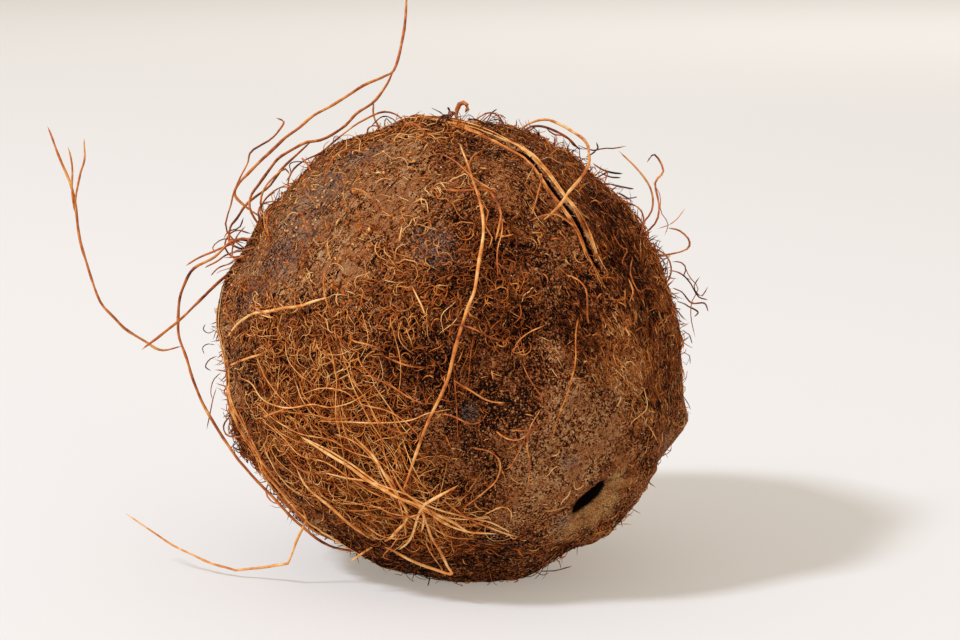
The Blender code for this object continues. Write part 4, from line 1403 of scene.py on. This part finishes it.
@dataclass
class SutureRibs:
    """Tough pale fibres that run along both lips of each split suture, all in one piece."""

    name: str = "suture_ribs"
    seed: int = 61
    per_suture: int = 44
    steps: int = 26
    sides: int = 4
    offsets: tuple[float, float] = (1.05 * MM, 2.0 * MM)
    lengths: tuple[float, float] = (8 * MM, 44 * MM)
    radii: tuple[float, float] = (0.08 * MM, 0.19 * MM)
    starts: tuple[float, float] = (math.radians(62.0), math.radians(112.0))
    sway: float = 0.25 * MM
    sway_scales: tuple[float, float] = (9.0, 4e3)
    lift: float = 0.45 * MM
    lift_power: float = 0.3
    sunk: float = 0.25 * MM
    taper: float = 0.5
    tone: float = 0.78
    tone_spread: float = 0.1
    patch_size: float = 2.0 * MM
    patch_tone: float = 0.2
    finish: CoirFibre = CoirFibre("suture_bast_fibre", roughness=0.6, specular=0.15)

    def build(self) -> bpy.types.Object:
        """Build every rib along its meridian.

        A rib keeps a steady distance from its suture, plus a slow noise, over a stretch of angles from the
        eyes, and sits on the surface with both ends pressed into it. The noise has one scale for the angle
        and one for the distance.
        """
        draw = np.random.default_rng(self.seed)
        count = self.per_suture * NUT.suture_count
        suture = np.repeat(np.arange(NUT.suture_count), self.per_suture) * 2 * math.pi / NUT.suture_count
        offset = draw.uniform(*self.offsets, count) * draw.choice((-1, 1), count)
        start = draw.uniform(*self.starts, count)
        share = np.linspace(0, 1, self.steps)
        from_pole = start[:, None] + draw.uniform(*self.lengths, count)[:, None] / NUT.flank_radius * share
        along, apart = self.sway_scales
        spots = np.stack([from_pole * along, offset[:, None] * apart + 0 * from_pole, 0 * from_pole], axis=-1)
        aside = offset[:, None] + self.sway * lattice_noise(spots, 1, 2)
        around = suture[:, None] + NUT.suture_turn(from_pole) + aside / (NUT.flank_radius * np.sin(from_pole))
        unit = direction(from_pole, around)
        lift = self.lift * np.sin(math.pi * share) ** self.lift_power - self.sunk
        paths = NUT.place(unit, surface_radius(unit) + lift)
        radii = draw.uniform(*self.radii, count)[:, None] * (1 - self.taper * np.abs(2 * share - 1) ** 3)
        patches = self.patch_tone * lattice_noise(paths, self.patch_size, 6)
        tones = self.tone + draw.normal(0, self.tone_spread, count)[:, None] + patches
        return put_tubes(self.name, paths, radii, tones, self.sides, self.finish.material())


# The long strands' routes as the solid has them: radius, then right, up and towards the viewer. Places with
# no third number are laid on the shell
STRAND_ROUTES = {
    "left_hoop": (0.75, (
        (-46, 24, 4), (-52, 25, 3), (-57, 21, 3), (-62, 18, 3), (-65, 13, 3), (-66, 7, 4), (-66, 2, 5),
        (-64, -4, 6), (-61, -13, 7), (-57, -20, 8), (-51, -29, 9), (-43, -38, 9), (-36, -45, 9),
        (-29, -50, 8), (-21, -51, 5), (-16, -48, 2),
    )),
    "left_whip": (0.65, (
        (-65, -1, 5.5), (-70, -2, 8), (-74, 0, 10), (-80, 4, 13), (-85, 10, 15), (-88, 18, 16),
        (-90, 25, 16), (-91, 34, 15), (-94, 43, 14), (-96, 48, 13), (-98, 53, 12),
    )),
    "left_whip_middle": (0.5, ((-91, 31, 15.4), (-92, 37, 16), (-92, 43, 17), (-93, 48, 18))),
    "left_whip_right": (0.5, ((-90, 26, 15.8), (-91, 34, 18), (-90, 41, 20), (-89, 45, 21), (-89, 50, 21))),
    "left_spear": (0.72, (
        (-75, -2, 16), (-70, 2, 14), (-64, 7, 11), (-58, 13, 8), (-52, 18, 5), (-46, 22, 3),
    )),
    "crown_whip": (0.75, (
        (-10, 91, -12), (-10, 82, -10), (-11, 74, -8), (-13, 67, -6), (-16, 65, -4), (-22, 62, -2),
        (-27, 59, 0), (-32, 56, 1), (-37, 52, 2), (-42, 48, 3), (-48, 42, 4), (-51, 39, 5), (-52, 36, 5),
        (-49, 33, 5), (-43, 29, 4),
    )),
    "crown_branch": (0.72, (
        (-13, 67, -6), (-15, 63, -8), (-18, 59, -9), (-22, 56, -9), (-25, 53, -8), (-30, 50, -7),
        (-35, 49, -6), (-40, 46, -4), (-43, 43, -3), (-46, 39, -2), (-48, 36, -1), (-48, 32, 0),
        (-45, 27, 1),
    )),
    "crown_cross": (0.65, (
        (-33, 49.5, -6.5), (-38, 45, -8), (-41, 42, -8), (-44, 38, -7), (-48, 35, -5), (-51, 31, -2),
        (-53, 28, 1), (-53, 24, 3), (-47, 22, 4),
    )),
    "crown_hair": (0.5, (
        (-42, 55, 9), (-40, 54, 9), (-41, 52, 9), (-43, 50, 9), (-48, 47, 9), (-49, 44, 9), (-51, 40, 8.5),
        (-53, 34, 7), (-54, 27, 5), (-47, 21, 4),
    )),
    "crown_prop": (0.5, ((-15, 50, -9), (-18, 55, -9.5), (-18, 59, -9))),
    "crown_arch": (0.5, (
        (-38, 33, 4), (-39, 38, 4), (-38, 42, 4), (-35, 44.5, 3), (-31, 46.5, 2), (-26, 50.5, 1),
        (-21, 54, 0), (-16, 56.5, -1), (-12, 55.5, -1), (-9, 52, -1),
    )),
    "crown_loop": (0.5, (
        (-38.5, 41, 4), (-40, 42.5, 5), (-43, 40, 6), (-45, 37, 6), (-45.5, 33, 6), (-43, 28, 5),
    )),
    "floor_whip": (0.6, (
        (-79, -42, -4), (-73, -46, -2), (-66, -50.5, 0), (-57, -54.6, 3), (-52.6, -56, 4.6),
        (-51.2, -56, 5), (-45, -55.2, 8), (-39.6, -54.6, 11.5), (-38.6, -53.8, 12.2), (-37, -49, 15),
        (-35, -45, 18), (-34.6, -43, 20), (-37, -38.5, 21), (-41, -34, 19),
    )),
    "front_loop": (0.65, (
        (-37, -31), (-34, -36), (-28, -41), (-23, -45), (-18, -48.5, 27), (-12, -52, 28), (-4, -55.5, 29),
        (1, -57, 30), (0, -55, 31), (-2, -51, 31), (-4, -48), (-5, -45), (-6, -41),
    )),
    "front_spear": (0.72, (
        (3, 49), (6, 41), (8, 34), (9, 27), (8, 19), (7, 13), (5, 8), (2, -2), (-1, -12), (-5, -20),
        (-8, -29), (-11, -37),
    )),
    "right_arch": (0.65, (
        (16, 50, 10), (20, 53.5, 10), (25, 54.5, 12), (30, 52, 18), (34, 49, 24), (35, 46, 30),
        (34, 42, 36), (30, 37, 42), (27, 33, 44), (22, 28.5, 40),
    )),
    "right_hair_high": (0.5, ((42, 47, 4), (47, 42, 4), (50, 37, 3), (50, 32, 2), (46, 27, 1))),
    "right_hair_hook": (0.5, (
        (49, 44, -4), (51, 46, -4), (53, 42, -4), (51, 39, -3), (52, 34, -2), (51, 29, 0), (46, 25, 2),
    )),
    "right_hair_low": (0.5, (
        (54, 28, 8), (57, 27.5, 8), (59.5, 25, 7), (58.5, 22.5, 5), (52, 21, 4), (46, 20, 3),
    )),
    "band_long": (0.72, (
        (-36, -23), (-30, -27), (-25, -30), (-19, -34), (-12, -38), (-5, -41), (1, -44), (6, -47),
    )),
    "band_crossing": (0.65, (
        (-23, -23), (-19, -27), (-15, -33), (-10, -42), (-13, -47), (-18, -50, 24), (-24, -54, 20),
    )),
    "band_short": (0.65, (
        (3, -35), (-3, -38.5), (-7, -42), (-9, -48), (-12, -51),
    )),
    "temple_fibre": (0.65, (
        (-54, 1), (-51, 5), (-47, 7), (-42, 8), (-36, 9), (-29, 11),
    )),
    "top_stub": (1.1, (
        (3, 52, -4), (2.4, 55.5, -4), (3, 58, -4), (4.4, 58.6, -3.6), (5.2, 57.4, -3.2), (4.4, 56.2, -3),
    )),
}
# How light each long strand is; the others have the first value
STRAND_TONES = {
    "": 0.62, "front_spear": 0.76, "temple_fibre": 0.88, "floor_whip": 0.8, "band_long": 0.86,
    "band_crossing": 0.86, "band_short": 0.9, "front_loop": 0.8, "right_arch": 0.7, "top_stub": 0.5,
    "crown_branch": 0.56, "crown_cross": 0.5, "crown_loop": 0.56, "crown_arch": 0.56, "crown_hair": 0.6,
}
# Thin fibres, listed one by one: radius in millimetres, tone, then places in the 960 by 640 picture
FINE_ROUTES = (
    (0.16, 0.9, ((238, 377), (246, 380), (253, 385), (260, 397), (273, 405), (290, 408), (313, 404),
        (330, 407), (350, 403), (367, 393))),
    (0.15, 0.86, ((317, 421), (347, 422), (380, 423), (410, 420), (428, 413), (452, 409))),
    (0.16, 0.62, ((358, 350), (360, 363), (373, 377), (390, 385), (410, 398), (427, 405))),
    (0.22, 0.92, ((303, 437), (337, 455), (370, 477), (403, 500), (437, 517), (457, 530))),
    (0.2, 0.9, ((323, 472), (347, 478), (373, 482), (403, 493), (427, 505), (459, 515), (490, 522),
        (512, 533))),
    (0.18, 0.9, ((333, 433), (357, 443), (373, 460), (393, 483), (400, 503), (405, 527), (406, 537))),
    (0.32, 0.92, ((415, 498), (420, 507), (423, 517), (421, 533))),
    (0.26, 0.94, ((392, 470), (400, 487), (413, 499), (430, 512), (446, 524), (470, 531), (500, 534))),
    (0.2, 0.84, ((440, 497), (467, 517), (497, 530), (520, 537))),
    (0.17, 0.8, ((470, 447), (490, 452), (500, 463), (497, 480), (483, 493), (460, 510))),
    (0.16, 0.8, ((480, 517), (493, 510), (505, 507), (512, 513), (510, 523))),
    (0.15, 0.72, ((542, 407), (530, 427), (527, 447), (530, 463), (527, 493))),
    (0.14, 0.7, ((530, 427), (513, 463), (505, 470))),
    (0.13, 0.7, ((510, 430), (528, 430), (542, 423))),
    (0.13, 0.66, ((522, 363), (530, 380), (542, 398), (541, 408))),
    (0.15, 0.8, ((512, 357), (517, 343), (530, 332), (548, 324))),
    (0.18, 0.78, ((453, 380), (470, 390), (487, 400), (507, 403))),
    (0.2, 0.72, ((440, 153), (457, 163), (470, 175), (487, 187), (497, 193))),
    (0.28, 0.64, ((440, 189), (460, 191), (478, 190), (490, 192), (500, 212), (498, 228), (495, 242))),
    (0.17, 0.62, ((498, 205), (502, 228), (497, 252), (498, 278))),
    (0.17, 0.62, ((478, 200), (488, 212), (485, 226), (492, 238), (488, 250))),
    (0.16, 0.66, ((628, 278), (633, 292), (629, 303))),
    (0.15, 0.66, ((633, 255), (630, 272), (636, 288), (641, 292))),
    (0.14, 0.62, ((612, 232), (620, 246), (627, 250), (622, 262), (629, 268))),
    (0.24, 0.8, ((229, 366), (240, 361), (252, 357), (264, 353))),
    (0.2, 0.84, ((412, 286), (417, 296), (422, 306), (425, 316))),
    (0.14, 0.8, ((300, 395), (322, 388), (345, 392), (362, 404), (385, 410), (405, 421), (420, 437))),
    (0.14, 0.84, ((255, 400), (275, 420), (302, 434), (330, 440), (352, 452), (380, 462), (399, 479))),
    (0.14, 0.84, ((262, 420), (283, 437), (300, 455), (325, 462), (350, 478), (372, 492), (398, 502))),
    (0.13, 0.8, ((345, 372), (368, 402), (380, 431), (386, 460), (396, 489), (411, 514))),
    (0.15, 0.84, ((425, 540), (430, 552), (440, 566), (446, 577))),
    (0.14, 0.8, ((402, 531), (392, 545), (383, 556), (391, 560))),
    (0.14, 0.6, ((217, 387), (213, 400), (210, 415), (207, 430))),
    (0.14, 0.5, ((222, 372), (214, 380), (211, 392), (213, 400))),
    (0.13, 0.4, ((216, 330), (209, 333), (204, 329), (206, 324))),
    (0.13, 0.36, ((216, 345), (208, 344), (203, 348), (205, 355))),
    (0.2, 0.72, ((300, 506), (292, 498), (277, 480), (266, 466), (257, 452), (250, 440), (246, 425),
        (237, 407))),
    (0.15, 0.36, ((218, 356), (210, 360), (206, 367), (212, 371))),
    (0.32, 0.66, ((256, 238), (240, 240), (227, 246), (214, 251), (202, 256), (186, 266))),
    (0.26, 0.6, ((256, 247), (242, 251), (228, 254), (216, 262), (205, 268))),
    (0.24, 0.56, ((252, 234), (238, 231), (229, 236), (225, 246), (230, 255), (240, 259))),
    (0.22, 0.56, ((254, 252), (240, 258), (229, 264), (219, 268), (211, 276))),
    (0.2, 0.58, ((246, 226), (236, 239), (232, 252), (236, 263))),
    (0.18, 0.56, ((246, 244), (232, 240), (222, 240), (213, 247), (216, 254))),
    (0.2, 0.5, ((244, 217), (240, 228), (229, 232), (224, 239))),
    (0.16, 0.5, ((262, 214), (263, 204), (268, 197), (276, 192))),
    (0.15, 0.44, ((286, 182), (291, 173), (290, 165), (296, 162), (309, 163), (318, 165))),
    (0.13, 0.2, ((318, 172), (323, 166), (322, 160))),
    (0.13, 0.2, ((276, 210), (272, 205), (277, 202), (283, 203))),
    (0.16, 0.4, ((371, 127), (380, 118), (388, 117), (396, 123), (392, 131))),
    (0.15, 0.4, ((384, 128), (386, 119), (392, 124), (401, 125))),
    (0.42, 0.38, ((441, 123), (446, 117), (453, 114), (458, 118))),
    (0.34, 0.3, ((436, 124), (442, 118), (448, 116))),
    (0.3, 0.32, ((446, 122), (450, 113), (448, 108))),
    (0.22, 0.34, ((466, 119), (476, 120), (486, 124), (494, 122))),
    (0.16, 0.3, ((480, 128), (487, 122), (492, 113), (497, 109))),
    (0.14, 0.3, ((487, 122), (497, 120), (503, 124), (501, 129))),
    (0.14, 0.3, ((492, 117), (500, 115), (506, 119))),
    (0.3, 0.5, ((524, 131), (533, 126), (545, 127), (560, 133), (571, 141), (580, 151))),
    (0.2, 0.5, ((545, 127), (553, 134), (566, 137), (575, 147), (586, 150))),
    (0.18, 0.5, ((577, 145), (592, 151), (604, 149), (614, 149), (627, 146))),
    (0.26, 0.42, ((592, 163), (603, 169), (614, 173), (623, 174))),
    (0.2, 0.4, ((600, 172), (611, 177), (621, 178))),
    (0.24, 0.42, ((610, 184), (622, 187), (634, 189))),
    (0.2, 0.4, ((617, 193), (627, 198), (637, 197))),
    (0.2, 0.3, ((585, 158), (593, 154), (598, 149), (596, 142))),
    (0.13, 0.66, ((685, 208), (678, 218), (669, 225), (657, 229))),
    (0.12, 0.7, ((652, 182), (660, 196), (660, 211), (668, 224), (664, 236))),
    (0.13, 0.6, ((683, 262), (689, 276), (698, 288), (692, 302), (691, 318), (695, 338))),
    (0.2, 0.5, ((668, 270), (680, 273), (690, 282), (698, 296), (708, 300))),
    (0.2, 0.46, ((672, 288), (683, 293), (692, 303), (704, 303), (708, 312))),
    (0.18, 0.46, ((676, 301), (688, 306), (698, 312), (694, 317))),
    (0.16, 0.44, ((700, 276), (694, 287), (701, 296), (708, 286))),
    (0.16, 0.4, ((671, 262), (680, 262), (686, 268), (684, 276), (691, 280))),
    (0.13, 0.5, ((682, 330), (689, 335), (692, 344))),
    (0.12, 0.4, ((683, 352), (689, 356), (690, 364))),
    (0.14, 0.3, ((540, 571), (556, 570), (572, 566))),
)


@dataclass(frozen=True)
class ArchedFibres:
    """The solid's seeded arched fibres: they bow over the shell, and both ends are sunk in it.

    Lengths and lifts are the least and greatest, in millimetres. The eye end is kept clear of them.
    """

    seed: int
    count: int
    lengths: tuple[float, float]
    lifts: tuple[float, float]
    hidden_only: bool = False
    sunk: float = 3.0
    floor_clearance: float = 9.0 * MM
    eye_clearance: float = math.radians(42.0)

    def routes(self) -> list[np.ndarray]:
        """Return the fibres' places.

        Roots follow a golden spiral. A fibre goes round by a = t length / flank radius, t from 0 to 1, with
        its direction start cos a + heading sin a + side sway sin 2 pi t, at the height
        (lift + 3) sin pi t - 3.

        Returns:
            Six places for each fibre that stays clear of the floor and of the eye end and, where only hidden
            ones are wanted, lies away from the front.
        """
        draw = random.Random(self.seed)
        golden_turn = math.pi * (3 - math.sqrt(5))
        front = np.array((math.sin(FRONT.azimuth), -math.cos(FRONT.azimuth), 0.0))
        t = np.linspace(0, 1, 6)[:, None]
        kept = []
        for index in range(self.count):
            from_pole = math.acos(1 - 2 * (index + 0.5) / self.count)
            start = direction(from_pole, index * golden_turn + draw.uniform(-0.2, 0.2))
            along = direction(from_pole + math.pi / 2, index * golden_turn)
            turn = draw.uniform(-1.1, 1.1)
            along = unit_rows(along - start * (along @ start))
            heading = along * math.cos(turn) + np.cross(start, along) * math.sin(turn)
            length, lift = draw.uniform(*self.lengths), draw.uniform(*self.lifts)
            sway = draw.uniform(-0.03, 0.03)
            arc = t * length * MM / NUT.flank_radius
            side = np.cross(start, heading) * sway * np.sin(2 * math.pi * t)
            unit = unit_rows(start * np.cos(arc) + heading * np.sin(arc) + side)
            rise = ((lift + self.sunk) * np.sin(math.pi * t[:, 0]) - self.sunk) * MM
            path = NUT.place(unit, NUT.solid_radius(unit) + rise)
            off_floor = path[:, 2].min() > self.floor_clearance
            clear = off_floor and unit[:, 2].max() < math.cos(self.eye_clearance)
            if clear and (not self.hidden_only or ((path - NUT.centre) @ front).max() < 0):
                kept.append(path)
        return kept


SHORT_ARCHES = ArchedFibres(seed=5, count=90, lengths=(11, 20), lifts=(1.6, 3.4))
BACK_ARCHES = ArchedFibres(seed=6, count=21, lengths=(34, 58), lifts=(7, 13), hidden_only=True)
# How many of the back arches the solid has, and how far from the centre one may show from the front
BACK_COUNT = 7
BACK_REACH = 59 * MM


@dataclass
class LongStrands:
    """The strands that stand off the nut or lie across it, all in one piece.

    Short and back arches have a radius and a tone each. Kinks bend a strand, and knots thicken it.
    """

    name: str = "long_strands"
    sides: int = 6
    spacing: float = 1.5 * MM
    lift: float = 1.0 * MM
    fine_lift: float = 0.9 * MM
    fine_tone_shift: float = -0.07
    thinness: float = 0.52
    short_arch: tuple[float, float] = (0.2 * MM, 0.56)
    back_arch: tuple[float, float] = (0.3 * MM, 0.6)
    kink_size: float = 5.0 * MM
    kink_depth: float = 0.35 * MM
    kink_seeds: tuple[int, int, int] = (13, 14, 15)
    knot_size: float = 2.2 * MM
    knot_share: float = 0.24
    band_size: float = 4.0 * MM
    band_tone: float = 0.2
    tone_spread: float = 0.03
    taper: float = 0.6
    floor_clearance: float = 0.4 * MM
    seed: int = 41
    finish: CoirFibre = CoirFibre("golden_coir_strand", roughness=0.5, specular=0.2)

    def smooth(self, points: np.ndarray) -> np.ndarray:
        """Return evenly stepped points on the Catmull-Rom curve through the given ones."""
        ends = np.concatenate([2 * points[:1] - points[1:2], points, 2 * points[-1:] - points[-2:-1]])
        reach = np.linalg.norm(np.diff(points, axis=0), axis=1).sum()
        where = np.linspace(0, len(points) - 1, max(8, round(reach / self.spacing)))
        knot = np.minimum(where.astype(int), len(points) - 2)
        t = (where - knot)[:, None]
        before, start, stop, after = (ends[knot + shift] for shift in range(4))
        bend = 2 * before - 5 * start + 4 * stop - after
        swing = 3 * start - before - 3 * stop + after
        return (2 * start + (stop - before) * t + bend * t**2 + swing * t**3) / 2

    def route_points(self, route: tuple) -> np.ndarray:
        """Return a route's places, those with no depth laid on the shell."""
        right, up, towards = np.array([(*place, math.nan)[:3] for place in route]).T
        laid = np.isnan(towards)
        free = FRONT.on_sight_line(right, up, np.where(laid, 0, towards))
        return np.where(laid[:, None], FRONT.lay_on_shell(right, up, self.lift), free)

    def bundle(self) -> list[tuple[float, float, np.ndarray]]:
        """Return every strand's radius, tone and smoothed path."""
        strands = [
            (radius * MM * self.thinness, STRAND_TONES.get(name, STRAND_TONES[""]), self.route_points(route))
            for name, (radius, route) in STRAND_ROUTES.items()
        ]
        for radius, tone, picture in FINE_ROUTES:
            right, up = FRONT.in_millimetres(np.array(picture, dtype=float))
            laid = FRONT.lay_on_shell(right, up, self.fine_lift)
            strands.append((radius * MM, tone + self.fine_tone_shift, laid))
        strands += [(*self.short_arch, path) for path in SHORT_ARCHES.routes()]
        backs = BACK_ARCHES.routes()[:BACK_COUNT]
        strands += [(*self.back_arch, path) for path in backs if FRONT.shown_reach(path) < BACK_REACH]
        return [(radius, tone, self.smooth(path)) for radius, tone, path in strands]

    def build(self) -> bpy.types.Object:
        """Build every strand as a closed tube, thinner at its ends, with knots and dark bands along it."""
        draw = np.random.default_rng(self.seed)
        vertices, faces, tones, total = [], [], [], 0
        for radius, light, path in self.bundle():
            along = np.linspace(-1, 1, len(path))
            kinks = np.stack([lattice_noise(path, self.kink_size, seed) for seed in self.kink_seeds], axis=-1)
            path = path + kinks * min(self.kink_depth, radius) * (1 - along**4)[:, None]
            path[:, 2] = np.maximum(path[:, 2], self.floor_clearance)
            knots = 1 + self.knot_share * lattice_noise(path, self.knot_size, 5)
            thickness = radius * (1 - self.taper * np.abs(along) ** 6) * knots
            rings = tube_bundle(path[None], thickness[None], self.sides, NUT.centre)
            bands = self.band_tone * lattice_noise(path, self.band_size, 6)
            tone = light + draw.normal(0, self.tone_spread) + bands
            vertices.append(rings)
            faces.append(tube_faces(1, len(path) - 2, self.sides) + total)
            tones.append(per_ring(tone[None], self.sides))
            total += len(rings)
        return put_mesh(
            self.name, np.concatenate(vertices), [np.concatenate(faces)], self.finish.material(),
            {"tone": np.concatenate(tones)},
        )


@dataclass(frozen=True)
class SoftLight:
    """A square soft light. Its offset and aim lie right of the nut's centre, up and towards the viewer."""

    name: str
    offset: tuple[float, float, float]
    aim: tuple[float, float, float]
    size: float
    power: float
    colour: str

    def add(self) -> None:
        """Add the light to the scene."""
        light = bpy.data.lights.new(self.name, "AREA")
        light.size = self.size
        light.energy = self.power
        light.color = linear(self.colour)[:3]
        lamp = bpy.data.objects.new(self.name, light)
        across, _, back = FRONT.axes()
        axes = np.stack([across, (0, 0, 1), unit_rows(back * (1, 1, 0))])
        place = NUT.centre + np.array(self.offset) @ axes
        lamp.location = place
        from_aim = Vector(place - NUT.centre - np.array(self.aim) @ axes)
        lamp.rotation_euler = from_aim.to_track_quat("Z", "Y").to_euler()
        bpy.context.scene.collection.objects.link(lamp)


LIGHTS = (
    SoftLight("key_light", (-2.4, 2.9, 1.5), (0, 0, 0), size=0.5, power=146.0, colour="#ecf2ff"),
    SoftLight("fill_light", (1.5, 0.5, 2.0), (0, 0, 0), size=1.4, power=11.0, colour="#ffe9d6"),
    SoftLight("backdrop_light", (0.9, 1.7, -2.6), (0.9, 0, -3.8), size=1.4, power=15.0, colour="#fffcfa"),
)


@dataclass
class Studio:
    """The pale floor, the surrounding light and the camera."""

    floor_rings: tuple[float, ...] = (0.2, 0.6, 2.0, 8.0, 40.0)
    floor_spokes: int = 64
    lens: float = 85.0
    sensor: float = 36.0
    surround: str = "#fdf5ea"
    surround_strength: float = 0.64
    paper: BackdropPaper = BackdropPaper()

    def floor(self) -> None:
        """Lay the floor: a flat disc of rings and spokes under the nut."""
        count = self.floor_spokes
        spokes = np.arange(count) * 2 * math.pi / count
        rings = np.array(self.floor_rings)
        places = rings[:, None, None] * np.stack([np.cos(spokes), np.sin(spokes), 0 * spokes], axis=-1)
        vertices = np.concatenate([np.zeros((1, 3)), places.reshape(-1, 3)])
        row, column = np.meshgrid(np.arange(len(rings) - 1), np.arange(count), indexing="ij")
        following = (column + 1) % count
        first, second = 1 + row * count, 1 + (row + 1) * count
        quads = np.stack([first + column, second + column, second + following, first + following], -1)
        middle = np.stack([0 * column[0], 1 + column[0], 1 + following[0]], -1)
        disc = put_mesh("studio_floor", vertices, [quads.reshape(-1, 4), middle], self.paper.material(), {})

    def world(self) -> None:
        """Light the scene evenly from all round."""
        sky = bpy.data.worlds.new("studio_surround")
        sky.use_nodes = True
        surround = sky.node_tree.nodes["Background"]
        surround.inputs["Color"].default_value = linear(self.surround)
        surround.inputs["Strength"].default_value = self.surround_strength
        bpy.context.scene.world = sky

    def camera(self) -> None:
        """Stand the camera where the front side is described from."""
        lens = bpy.data.cameras.new("front_camera")
        lens.lens = self.lens
        lens.sensor_width = self.sensor
        lens.clip_start, lens.clip_end = 0.01, 200.0
        camera = bpy.data.objects.new("front_camera", lens)
        _, _, back = FRONT.axes()
        camera.location = FRONT.viewer()
        camera.rotation_euler = Vector(-back).to_track_quat("-Z", "Y").to_euler()
        bpy.context.scene.collection.objects.link(camera)
        bpy.context.scene.camera = camera

    def build(self) -> None:
        """Set up the floor, the lights and the camera."""
        self.floor()
        for light in LIGHTS:
            light.add()
        self.world()
        self.camera()
        bpy.context.scene.view_settings.view_transform = "Standard"


def seat(piece: bpy.types.Object) -> None:
    """Make a piece part of the shell's body, and log how many triangles it has."""
    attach(piece, BODY_NAME)
    log.info("%s: %d triangles", piece.name, sum(len(p.vertices) - 2 for p in piece.data.polygons))


def main() -> None:
    """Build the shell, its fibres and strands, and the studio."""
    logging.basicConfig(level=logging.INFO, format="%(message)s")
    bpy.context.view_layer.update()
    seat(ShellBody().build())
    for layer in LAYERS:
        seat(layer.build())
    seat(HuskCrumbs().build())
    seat(CHALK_SPECKS.build())
    seat(SutureRibs().build())
    seat(LongStrands().build())
    Studio().build()


if __name__ == "__main__":
    main()
